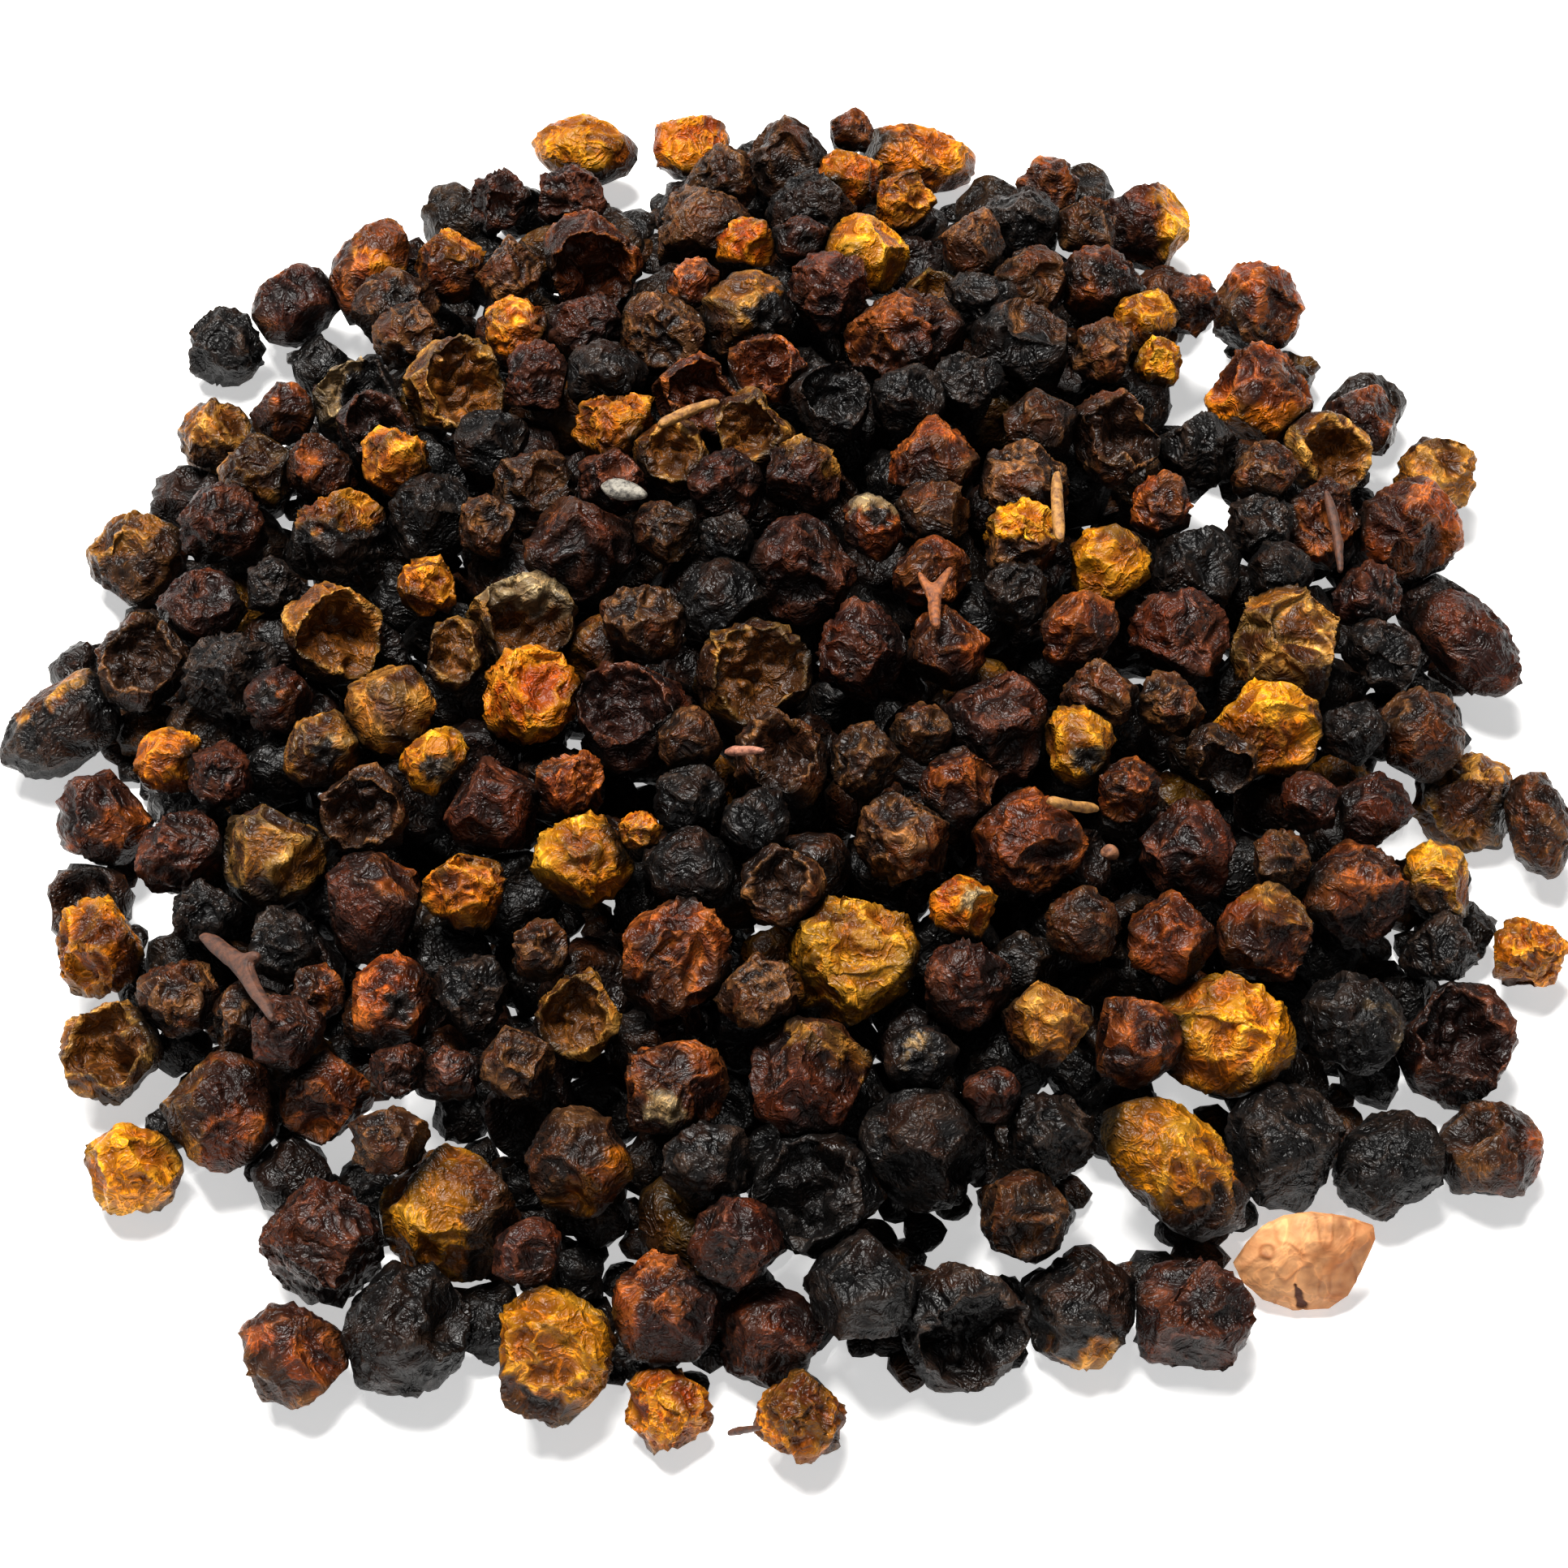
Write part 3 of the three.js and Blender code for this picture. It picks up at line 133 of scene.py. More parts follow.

# Painted shade: share of their colour that hidden berries and the dark scraps keep, and how much
# darker undersides are painted
HIDDEN_SHADE_FACTOR = 0.45
SCRAP_SHADE_FACTOR = 0.3
UNDERSIDE_SHADE = 0.65

# Frequency of the balls: for a hidden berry, its limits for a seen one and its rise with the
# radius; and how far the corners are drawn towards the side that faces out of the heap
HIDDEN_FREQUENCY = 5
SEEN_FREQUENCY = (8, 19)
FINENESS = 4.7
OUTWARD_PULL = 0.42

GOLDEN_TURN = math.pi * (3 - math.sqrt(5))


class Tone(Enum):
    """Skin colours of the dried berries."""

    GOLD = "gold"
    OCHRE = "ochre"
    AMBER = "amber"
    ORANGE = "orange"
    RUST = "rust"
    CLARET = "claret"
    UMBER = "umber"
    SOOT = "soot"
    CREAM = "cream"


class Form(Enum):
    """Shapes that the berries have dried into."""

    CRUMPLED = "crumpled"
    FACETED = "faceted"
    SHELL = "shell"
    STARRED = "starred"
    NETTED = "netted"
    LONG = "long"


Landmark = tuple[float, float, float, Tone, Form] | tuple[float, float, float, Tone, Form, float]

# Berries that show: across, up and width on the landmark plane, tone, form and a long one's turn
LANDMARKS: list[Landmark] = [
    # Back left
    (-34.9, 27.5, 4.8, Tone.SOOT, Form.CRUMPLED), (-30.1, 29.7, 5.3, Tone.CLARET, Form.FACETED),
    (-25.2, 31.7, 4.9, Tone.AMBER, Form.LONG, 60), (-20.9, 32.1, 4.4, Tone.AMBER, Form.FACETED),
    (-35.2, 21.8, 4.4, Tone.OCHRE, Form.FACETED), (-32.1, 19.6, 4.8, Tone.OCHRE, Form.FACETED),
    (-23.8, 20.1, 4.2, Tone.AMBER, Form.CRUMPLED), (-27.3, 23.8, 5.0, Tone.SOOT, Form.SHELL),
    (-23.1, 28.1, 4.3, Tone.UMBER, Form.CRUMPLED), (-20.6, 24.3, 6.3, Tone.OCHRE, Form.SHELL),
    (-16.8, 31.8, 3.9, Tone.UMBER, Form.CRUMPLED), (-17.6, 35.8, 4.0, Tone.CLARET, Form.CRUMPLED),
    (-40.1, 14.8, 6.0, Tone.OCHRE, Form.FACETED), (-34.6, 16.1, 5.1, Tone.CLARET, Form.CRUMPLED),
    (-26.8, 15.6, 6.0, Tone.AMBER, Form.CRUMPLED), (-18.3, 16.1, 3.8, Tone.UMBER, Form.CRUMPLED),
    (-30.1, 23.3, 3.8, Tone.RUST, Form.FACETED), (-15.3, 25.3, 4.3, Tone.CLARET, Form.CRUMPLED),
    # Back middle
    (-12.2, 39.2, 4.7, Tone.GOLD, Form.LONG, -10), (-5.9, 39.8, 4.5, Tone.ORANGE, Form.FACETED),
    (-13.1, 36.1, 4.3, Tone.CLARET, Form.CRUMPLED), (0.5, 38.1, 5.0, Tone.UMBER, Form.FACETED),
    (3.5, 37.6, 4.1, Tone.ORANGE, Form.CRUMPLED), (4.1, 40.3, 3.0, Tone.RUST, Form.CRUMPLED),
    (9.2, 39.7, 5.3, Tone.AMBER, Form.LONG, -8), (7.5, 36.3, 3.8, Tone.AMBER, Form.CRUMPLED),
    (-11.1, 32.1, 5.9, Tone.RUST, Form.SHELL), (-2.3, 33.7, 3.4, Tone.ORANGE, Form.CRUMPLED),
    (1.0, 34.1, 3.4, Tone.CLARET, Form.STARRED), (-7.3, 28.1, 5.3, Tone.UMBER, Form.CRUMPLED),
    (-1.8, 29.1, 5.6, Tone.OCHRE, Form.STARRED), (2.0, 30.1, 5.0, Tone.CLARET, Form.CRUMPLED),
    (-5.8, 31.3, 3.1, Tone.RUST, Form.CRUMPLED), (5.3, 32.8, 4.8, Tone.GOLD, Form.FACETED),
    (7.5, 27.7, 6.9, Tone.RUST, Form.CRUMPLED), (14.2, 26.8, 5.6, Tone.SOOT, Form.FACETED),
    (14.7, 34.6, 4.4, Tone.SOOT, Form.CRUMPLED), (-10.5, 22.3, 5.1, Tone.AMBER, Form.CRUMPLED),
    (-7.1, 20.3, 4.2, Tone.OCHRE, Form.SHELL), (-2.1, 22.1, 4.9, Tone.OCHRE, Form.SHELL),
    (3.2, 23.8, 4.9, Tone.SOOT, Form.SHELL), (9.7, 19.9, 5.8, Tone.RUST, Form.CRUMPLED),
    (5.1, 16.1, 3.8, Tone.RUST, Form.STARRED), (-12.2, 14.3, 6.8, Tone.CLARET, Form.FACETED),
    (-7.6, 15.8, 4.0, Tone.UMBER, Form.CRUMPLED), (-3.8, 15.1, 3.6, Tone.SOOT, Form.CRUMPLED),
    (1.0, 19.3, 4.5, Tone.CLARET, Form.CRUMPLED),
    # Back right
    (16.7, 36.6, 3.8, Tone.RUST, Form.CRUMPLED), (22.1, 34.7, 5.4, Tone.CLARET, Form.FACETED),
    (19.8, 30.7, 4.8, Tone.RUST, Form.STARRED), (22.3, 29.4, 4.0, Tone.GOLD, Form.FACETED),
    (24.6, 29.7, 3.6, Tone.RUST, Form.CRUMPLED), (29.2, 29.2, 5.6, Tone.RUST, Form.FACETED),
    (23.2, 26.3, 3.0, Tone.GOLD, Form.CRUMPLED), (19.8, 26.7, 4.0, Tone.UMBER, Form.CRUMPLED),
    (29.0, 23.8, 6.0, Tone.RUST, Form.FACETED), (19.8, 21.6, 5.4, Tone.UMBER, Form.SHELL),
    (25.5, 20.6, 4.8, Tone.SOOT, Form.CRUMPLED), (33.5, 20.8, 4.9, Tone.OCHRE, Form.SHELL),
    (35.6, 22.7, 4.4, Tone.RUST, Form.FACETED), (40.2, 19.2, 4.9, Tone.OCHRE, Form.FACETED),
    (37.5, 15.2, 6.1, Tone.RUST, Form.FACETED), (23.3, 17.3, 3.7, Tone.RUST, Form.CRUMPLED),
    (29.5, 18.7, 4.0, Tone.UMBER, Form.CRUMPLED), (30.0, 16.1, 4.5, Tone.SOOT, Form.CRUMPLED),
    (14.6, 15.6, 4.8, Tone.GOLD, Form.CRUMPLED), (14.5, 11.8, 4.0, Tone.SOOT, Form.CRUMPLED),
    (19.8, 13.7, 4.9, Tone.GOLD, Form.FACETED), (16.7, 22.1, 4.6, Tone.UMBER, Form.FACETED),
    # Left side
    (-35.8, 11.1, 5.0, Tone.CLARET, Form.FACETED), (-31.6, 12.6, 3.6, Tone.SOOT, Form.CRUMPLED),
    (-22.1, 12.8, 4.0, Tone.AMBER, Form.CRUMPLED), (-27.6, 9.6, 5.8, Tone.OCHRE, Form.SHELL),
    (-40.1, 6.7, 5.5, Tone.UMBER, Form.SHELL), (-43.2, 4.5, 6.3, Tone.SOOT, Form.LONG, 35),
    (-33.8, 6.3, 5.5, Tone.SOOT, Form.CRUMPLED), (-31.6, 5.7, 4.0, Tone.CLARET, Form.STARRED),
    (-23.8, 5.1, 5.9, Tone.OCHRE, Form.FACETED), (-20.3, 8.3, 4.0, Tone.OCHRE, Form.SHELL),
    (-28.6, 2.6, 4.5, Tone.OCHRE, Form.STARRED), (-20.9, 1.2, 3.9, Tone.GOLD, Form.STARRED),
    (-15.3, 5.5, 6.2, Tone.ORANGE, Form.CRUMPLED), (-16.1, 10.6, 6.0, Tone.OCHRE, Form.SHELL),
    (-37.6, 1.6, 4.2, Tone.AMBER, Form.FACETED), (-35.1, 1.1, 4.0, Tone.CLARET, Form.CRUMPLED),
    (-42.2, -2.2, 5.6, Tone.CLARET, Form.FACETED), (-36.3, -4.2, 5.6, Tone.CLARET, Form.CRUMPLED),
    (-31.6, -4.2, 6.1, Tone.OCHRE, Form.NETTED), (-25.8, -1.2, 5.0, Tone.UMBER, Form.SHELL),
    (-18.3, -0.7, 5.9, Tone.CLARET, Form.FACETED), (-25.1, -7.2, 6.5, Tone.CLARET, Form.FACETED),
    (-19.6, -6.0, 5.0, Tone.AMBER, Form.CRUMPLED), (-42.3, -9.6, 5.8, Tone.AMBER, Form.CRUMPLED),
    (-35.8, -7.7, 4.5, Tone.SOOT, Form.CRUMPLED), (-37.6, -13.0, 4.8, Tone.UMBER, Form.CRUMPLED),
    (-40.8, -15.8, 5.9, Tone.OCHRE, Form.SHELL), (-24.2, -13.0, 5.2, Tone.RUST, Form.STARRED),
    (-19.2, -12.5, 4.8, Tone.SOOT, Form.CRUMPLED), (-29.1, -13.0, 3.5, Tone.RUST, Form.CRUMPLED),
    (-29.6, -16.2, 4.5, Tone.CLARET, Form.CRUMPLED),
    # Crown
    (-8.1, 10.3, 4.9, Tone.UMBER, Form.CRUMPLED), (0.3, 13.5, 6.4, Tone.CLARET, Form.FACETED),
    (9.2, 13.3, 4.6, Tone.RUST, Form.CRUMPLED), (4.7, 8.4, 5.5, Tone.CLARET, Form.CRUMPLED),
    (10.0, 8.8, 4.9, Tone.RUST, Form.FACETED), (-1.8, 7.1, 6.3, Tone.OCHRE, Form.SHELL),
    (-9.8, 4.7, 6.5, Tone.CLARET, Form.SHELL), (-6.1, 2.6, 4.0, Tone.UMBER, Form.FACETED),
    (0.2, 1.6, 5.8, Tone.UMBER, Form.SHELL), (4.6, 1.9, 4.4, Tone.UMBER, Form.CRUMPLED),
    (8.6, 3.3, 3.8, Tone.UMBER, Form.CRUMPLED), (13.2, 3.5, 6.5, Tone.CLARET, Form.FACETED),
    (18.2, 3.3, 4.4, Tone.GOLD, Form.STARRED), (-5.6, -0.5, 4.4, Tone.SOOT, Form.CRUMPLED),
    (-12.3, -4.3, 5.4, Tone.GOLD, Form.CRUMPLED), (-8.9, -2.5, 2.6, Tone.AMBER, Form.CRUMPLED),
    (-13.3, 0.3, 4.5, Tone.RUST, Form.CRUMPLED), (-5.8, -4.7, 4.8, Tone.SOOT, Form.FACETED),
    (7.6, -3.1, 5.8, Tone.UMBER, Form.CRUMPLED), (15.0, -3.6, 6.4, Tone.RUST, Form.FACETED),
    (0.2, -6.0, 4.8, Tone.UMBER, Form.SHELL), (4.0, -10.3, 8.0, Tone.GOLD, Form.CRUMPLED),
    (11.0, -6.7, 4.1, Tone.ORANGE, Form.CRUMPLED), (11.2, -11.8, 5.6, Tone.CLARET, Form.CRUMPLED),
    (-6.8, -10.5, 7.1, Tone.RUST, Form.CRUMPLED), (-12.6, -13.8, 5.4, Tone.OCHRE, Form.SHELL),
    (-15.1, -10.0, 3.8, Tone.UMBER, Form.CRUMPLED), (-1.6, -12.5, 4.6, Tone.UMBER, Form.CRUMPLED),
    (8.4, -16.3, 4.0, Tone.SOOT, Form.STARRED),
    # Right side
    (18.0, 9.1, 5.0, Tone.RUST, Form.FACETED), (24.5, 9.2, 5.6, Tone.CLARET, Form.CRUMPLED),
    (25.2, 13.5, 5.8, Tone.SOOT, Form.FACETED), (31.2, 8.6, 6.8, Tone.OCHRE, Form.NETTED),
    (30.5, 4.1, 6.3, Tone.AMBER, Form.FACETED), (34.6, 3.7, 4.0, Tone.SOOT, Form.STARRED),
    (30.5, 13.3, 3.8, Tone.SOOT, Form.FACETED), (36.0, 11.9, 4.3, Tone.CLARET, Form.CRUMPLED),
    (37.0, 8.3, 4.6, Tone.SOOT, Form.FACETED), (41.7, 8.9, 5.8, Tone.CLARET, Form.LONG, -45),
    (19.0, 5.8, 4.8, Tone.UMBER, Form.CRUMPLED), (23.8, 5.3, 4.0, Tone.UMBER, Form.CRUMPLED),
    (26.7, 1.6, 4.2, Tone.UMBER, Form.SHELL), (21.1, 0.1, 4.0, Tone.RUST, Form.CRUMPLED),
    (24.8, -3.8, 6.0, Tone.CLARET, Form.FACETED), (32.2, -0.7, 3.8, Tone.CLARET, Form.CRUMPLED),
    (36.2, -1.2, 4.8, Tone.CLARET, Form.FACETED), (30.7, -4.5, 3.8, Tone.UMBER, Form.CRUMPLED),
    (35.0, -7.0, 6.4, Tone.RUST, Form.FACETED), (40.2, -6.4, 4.8, Tone.GOLD, Form.NETTED),
    (40.0, 2.4, 5.1, Tone.UMBER, Form.FACETED), (42.6, 0.1, 6.1, Tone.OCHRE, Form.CRUMPLED),
    (45.3, -1.6, 4.6, Tone.UMBER, Form.LONG, -75), (45.6, -10.0, 4.7, Tone.AMBER, Form.CRUMPLED),
    (18.5, -8.2, 4.4, Tone.UMBER, Form.CRUMPLED), (23.6, -9.3, 5.5, Tone.RUST, Form.FACETED),
    (29.5, -9.5, 5.9, Tone.RUST, Form.FACETED), (28.3, -16.1, 7.8, Tone.GOLD, Form.FACETED),
    (22.0, -15.5, 5.3, Tone.RUST, Form.FACETED), (16.0, -14.5, 5.3, Tone.OCHRE, Form.FACETED),
    (40.5, -10.7, 4.5, Tone.SOOT, Form.CRUMPLED), (35.7, -15.0, 6.0, Tone.SOOT, Form.STARRED),
    (39.6, -15.0, 7.3, Tone.CLARET, Form.SHELL),
    # Front left
    (-38.9, -22.3, 5.8, Tone.GOLD, Form.FACETED), (-34.1, -20.3, 7.0, Tone.RUST, Form.FACETED),
    (-30.2, -17.5, 5.5, Tone.RUST, Form.FACETED), (-24.3, -17.3, 3.6, Tone.CLARET, Form.CRUMPLED),
    (-20.3, -17.5, 3.5, Tone.CLARET, Form.CRUMPLED), (-16.4, -17.2, 4.5, Tone.UMBER, Form.CRUMPLED),
    (-23.1, -23.2, 4.9, Tone.UMBER, Form.CRUMPLED), (-22.0, -25.2, 8.6, Tone.GOLD, Form.FACETED),
    (-28.1, -27.2, 7.4, Tone.CLARET, Form.CRUMPLED), (-29.0, -34.8, 6.4, Tone.RUST, Form.FACETED),
    (-22.5, -33.3, 7.8, Tone.SOOT, Form.FACETED), (-15.0, -33.9, 8.0, Tone.GOLD, Form.FACETED),
    (-15.8, -28.7, 4.5, Tone.CLARET, Form.FACETED),
    # Front middle
    (-12.7, -23.0, 6.3, Tone.UMBER, Form.FACETED), (-7.1, -18.5, 6.4, Tone.RUST, Form.CRUMPLED),
    (1.6, -18.8, 7.3, Tone.CLARET, Form.FACETED), (9.0, -21.8, 7.1, Tone.SOOT, Form.FACETED),
    (12.5, -19.0, 3.6, Tone.CLARET, Form.FACETED), (-4.8, -23.2, 5.3, Tone.SOOT, Form.CRUMPLED),
    (1.7, -24.8, 7.5, Tone.SOOT, Form.SHELL), (15.0, -26.3, 5.3, Tone.UMBER, Form.FACETED),
    (-2.1, -29.0, 5.6, Tone.CLARET, Form.FACETED), (-0.8, -32.0, 6.5, Tone.CLARET, Form.FACETED),
    (5.0, -31.0, 6.5, Tone.SOOT, Form.FACETED), (-7.3, -32.1, 6.6, Tone.RUST, Form.FACETED),
    (-7.2, -37.7, 5.3, Tone.ORANGE, Form.CRUMPLED), (0.7, -37.2, 5.6, Tone.AMBER, Form.CRUMPLED),
    (9.8, -32.5, 7.4, Tone.SOOT, Form.SHELL), (18.0, -30.8, 6.9, Tone.SOOT, Form.FACETED),
    # Front right
    (24.0, -23.1, 8.0, Tone.GOLD, Form.LONG, -45),
    (25.5, -32.5, 7.1, Tone.CLARET, Form.FACETED), (30.1, -19.8, 7.0, Tone.SOOT, Form.FACETED),
    (37.5, -23.2, 6.4, Tone.SOOT, Form.FACETED), (43.7, -22.5, 6.1, Tone.UMBER, Form.FACETED),
    (16.2, -21.7, 5.5, Tone.SOOT, Form.CRUMPLED),
]

# Berries low between the others, dark as painted shade in the gaps: across, up and width on the
# landmark plane
TUCKED = [
    (-18.3, -34.7, 3.8), (-15.7, -24.8, 3.6), (-12.9, -30.0, 4.2), (-25.2, -25.3, 3.2),
    (-37.5, -16.3, 3.6), (-38.4, -22.0, 3.0), (32.8, -10.7, 4.6), (38.5, -13.2, 3.8),
    (26.5, -9.6, 3.8), (18.0, -17.7, 4.2), (11.3, -16.3, 3.6), (29.3, -0.1, 3.6),
    (13.5, -31.9, 3.2), (-16.2, 35.1, 3.4), (-1.1, 35.1, 3.6), (-37.0, -0.8, 3.6),
    (-28.3, -7.4, 3.4), (37.1, -17.7, 3.8), (-20.0, -20.1, 3.8),
]

# Spots of the landmark plane, across, up and radius, where bare surface shows between berries
CLEARINGS = [
    (1.3, -30.2, 1.0), (11.7, -29.0, 1.8), (24.5, -18.0, 1.3), (41.0, -20.0, 0.9),
    (25.7, 26.3, 1.2), (24.5, 23.3, 0.9), (26.2, 16.3, 1.5), (37.0, 19.3, 0.9),
    (-31.8, 23.8, 1.4), (-26.3, 27.6, 0.8), (-8.6, 37.2, 0.9), (-27.3, -21.2, 1.8),
    (-23.8, -29.7, 1.1), (-38.3, -7.5, 1.4), (38.5, 0.3, 1.4), (38.5, -3.7, 1.1),
    (20.7, -26.7, 2.2), (30.7, -25.2, 1.4), (-41.0, -1.5, 1.2),
    (31.0, -29.2, 2.6), (28.4, -29.4, 1.3), (33.9, -28.4, 1.8), (-22.4, -20.2, 1.2),
    (4.3, -37.3, 1.8), (-3.0, -37.4, 0.8), (-40.6, 18.0, 1.4), (-41.9, 11.0, 0.8),
    (-37.6, 22.5, 0.6), (43.7, 4.5, 1.5), (42.9, 12.9, 1.0), (44.3, -6.5, 1.0),
    (17.4, 39.3, 1.0), (26.8, 33.0, 1.0), (33.5, 26.3, 1.0), (-3.0, 40.6, 0.8),
    (8.6, 39.2, 2.2), (22.6, 34.6, 1.6),
]

# Second tones of landmarks: across and up, the tone, the side that has it, in degrees, and where
# it starts; one that starts beyond SPOT_FROM is a spot on the side that faces the viewer
PATCHES = [
    # Back
    (-30.1, 28.6, Tone.RUST, 180, 0.3), (-20.9, 32.1, Tone.RUST, -90, -0.1),
    (-25.2, 31.7, Tone.RUST, -150, 0.1),
    (-27.3, 23.8, Tone.CREAM, 165, 0.1), (-26.8, 15.6, Tone.SOOT, -90, -0.05),
    (-40.0, 13.8, Tone.UMBER, -70, 0.0),
    (7.5, 27.8, Tone.CLARET, -70, 0.0), (14.5, 15.5, Tone.UMBER, -90, -0.1),
    (22.2, 34.8, Tone.GOLD, 0, 0.3),
    (5.1, 16.1, Tone.CREAM, 90, 0.45), (-16.1, 10.6, Tone.CREAM, 80, 0.35),
    (-12.2, 14.3, Tone.RUST, 150, 0.35),
    (1.0, 19.3, Tone.OCHRE, 60, 0.4), (14.2, 26.8, Tone.UMBER, 60, 0.5),
    (22.3, 29.4, Tone.OCHRE, -60, 0.3),
    (29.0, 23.8, Tone.AMBER, -100, 0.2), (-12.2, 39.2, Tone.UMBER, -90, 0.55),
    (-1.8, 29.1, Tone.SOOT, -20, 0.3),
    (9.7, 19.9, Tone.UMBER, -60, 0.0), (-35.2, 21.8, Tone.UMBER, -90, 0.4),
    (29.2, 29.2, Tone.UMBER, -150, 0.2),
    # Middle
    (-41.8, -3.2, Tone.RUST, -60, 0.1), (30.5, 4.3, Tone.GOLD, 90, 0.1),
    (-43.0, 4.0, Tone.OCHRE, 120, 0.45),
    (40.2, -6.4, Tone.UMBER, -120, 0.2), (29.5, -9.5, Tone.OCHRE, 60, 0.5),
    (-25.1, -7.2, Tone.RUST, 60, 0.3),
    (35.0, -7.0, Tone.CLARET, -60, 0.3), (-31.5, 5.8, Tone.RUST, 0, 0.82),
    (-28.5, 2.8, Tone.CREAM, 0, 0.95),
    (-20.9, 1.2, Tone.CREAM, 0, 0.95), (18.2, 3.3, Tone.CREAM, -45, 0.88),
    (10.9, -6.7, Tone.CREAM, 60, 0.94),
    # Front
    (-21.9, -25.3, Tone.UMBER, 0, 0.35), (-34.1, -20.3, Tone.OCHRE, 180, 0.2),
    (-29.6, -35.0, Tone.UMBER, -120, 0.1),
    (-12.8, -22.8, Tone.AMBER, -60, 0.3), (-7.2, -32.5, Tone.CLARET, -20, 0.2),
    (17.8, -31.6, Tone.OCHRE, -80, 0.6),
    (44.0, -22.5, Tone.RUST, -30, 0.3), (1.5, -18.9, Tone.OCHRE, 60, 0.5),
    (8.5, -16.3, Tone.CREAM, 110, 0.94),
    (35.6, -16.2, Tone.CREAM, 0, 0.95), (-7.1, -18.5, Tone.CREAM, -90, 0.955),
    (-14.5, -34.5, Tone.UMBER, -130, 0.55), (24.0, -23.1, Tone.UMBER, -60, 0.5),
]


@dataclass(frozen=True)
class Palette:
    """Colours of one tone, as red, green and blue from 0 to 255.

    Attributes:
        skin: The sound skin between ridges and hollows.
        ridge: The raised folds, partly the pale colour of thin dry edges and partly a painted
            highlight.
        hollow: Painted shade in the sunken places.
        blotch: A second tone that covers part of the skin.
        blotch_share: How much of the skin the blotch covers, from 0 to 1.
    """

    skin: tuple[int, int, int]
    ridge: tuple[int, int, int]
    hollow: tuple[int, int, int]
    blotch: tuple[int, int, int]
    blotch_share: float


PALETTES: dict[Tone, Palette] = {
    Tone.GOLD: Palette((206, 128, 10), (248, 184, 54), (136, 68, 8), (100, 50, 10), 0.2),
    Tone.OCHRE: Palette((148, 90, 22), (224, 168, 80), (60, 29, 9), (44, 21, 12), 0.42),
    Tone.AMBER: Palette((196, 106, 10), (242, 166, 44), (100, 44, 7), (70, 32, 11), 0.34),
    Tone.ORANGE: Palette((228, 124, 8), (252, 174, 40), (158, 60, 5), (128, 50, 8), 0.22),
    Tone.RUST: Palette((120, 53, 15), (198, 112, 44), (40, 15, 8), (36, 15, 9), 0.44),
    Tone.CLARET: Palette((47, 20, 13), (112, 62, 38), (15, 7, 6), (88, 36, 12), 0.3),
    Tone.UMBER: Palette((58, 32, 17), (150, 102, 56), (19, 11, 8), (88, 41, 12), 0.36),
    Tone.SOOT: Palette((15, 13, 13), (68, 51, 41), (5, 4, 5), (44, 22, 11), 0.28),
    Tone.CREAM: Palette((154, 126, 86), (202, 178, 132), (84, 66, 44), (66, 54, 42), 0.35),
}


@dataclass(frozen=True)
class FormShape:
    """Proportions of one form, for a berry with a radius of one.

    Attributes:
        length: Reach along the main axis.
        breadth: Reach across it.
        dents: Number of large dents.
        depth: Depth of the large dents.
        mouth: Depth of the hollow at the end of the main axis.
        lumps: Height of broad lumps.
        folds: Height of wide, middling and fine folds.
        draw: How far folds are drawn out along the main axis, from 0 to 1.
        crest: How far the crests take their own colour.
    """

    length: float
    breadth: float
    dents: int
    depth: float
    mouth: float
    lumps: float
    folds: tuple[float, float, float]
    # crest: How far the crests take the ridge colour, partly the pale colour of thin dry edges and
    # partly a painted highlight.
    draw: float
    crest: float


FORM_SHAPES: dict[Form, FormShape] = {
    Form.CRUMPLED: FormShape(0.94, 1.02, 12, 0.16, 0.0, 0.13, (0.13, 0.085, 0.015), 0.45, 0.8),
    Form.FACETED: FormShape(0.98, 1.02, 9, 0.14, 0.0, 0.12, (0.07, 0.045, 0.01), 0.3, 0.65),
    Form.SHELL: FormShape(0.92, 1.06, 8, 0.12, 1.5, 0.1, (0.08, 0.045, 0.01), 0.3, 0.9),
    Form.STARRED: FormShape(0.92, 1.04, 10, 0.1, 0.12, 0.1, (0.1, 0.06, 0.01), 0.5, 0.7),
    Form.NETTED: FormShape(1.0, 1.04, 14, 0.16, 0.0, 0.08, (0.03, 0.03, 0.015), 0.1, 1.0),
    Form.LONG: FormShape(1.3, 0.8, 8, 0.07, 0.0, 0.08, (0.07, 0.05, 0.01), 0.7, 0.65),
}

# Tones and forms of the berries that are no landmarks, each with the end of its share of the draws
TONE_LIMITS = (
    (0.22, Tone.SOOT), (0.48, Tone.CLARET), (0.7, Tone.UMBER), (0.86, Tone.RUST),
    (0.91, Tone.AMBER), (0.96, Tone.OCHRE), (math.inf, Tone.GOLD),
)
FORM_LIMITS = (
    (0.55, Form.CRUMPLED), (0.85, Form.FACETED), (0.93, Form.SHELL), (math.inf, Form.STARRED),
)

# Large dents: how deep one must be to cave in, where its rim lies and how far it folds back
CAVE_FROM = 0.85
CAVE_RIM = (0.7, 0.8)
CAVE_FOLD = (0.5, 1.0)
MOUTH_RIM = 0.5


class Draws:
    """Evenly spread draws that come out the same every time."""

    def __init__(self, seed: int) -> None:
        """Starts a run of draws.

        Args:
            seed: Whole number that the run depends on.
        """
        self.state = seed
        self.next()
        self.next()

    def next(self) -> float:
        """Draws a number.

        Returns:
            A number from 0 to 1.
        """
        self.state = (self.state * DRAW_FACTOR) % DRAW_RANGE
        return self.state / DRAW_RANGE

    def between(self, low: float, high: float) -> float:
        """Draws a number from a range.

        Args:
            low: Least value.
            high: Greatest value.

        Returns:
            A number between the two.
        """
        return low + (high - low) * self.next()

    def direction(self) -> np.ndarray:
        """Draws a direction.

        Returns:
            A vector of length one.
        """
        x = self.between(-1, 1)
        y = self.between(-1, 1)
        z = self.between(-1, 1)
        return unit(np.array([x, y, z + 0.001]))


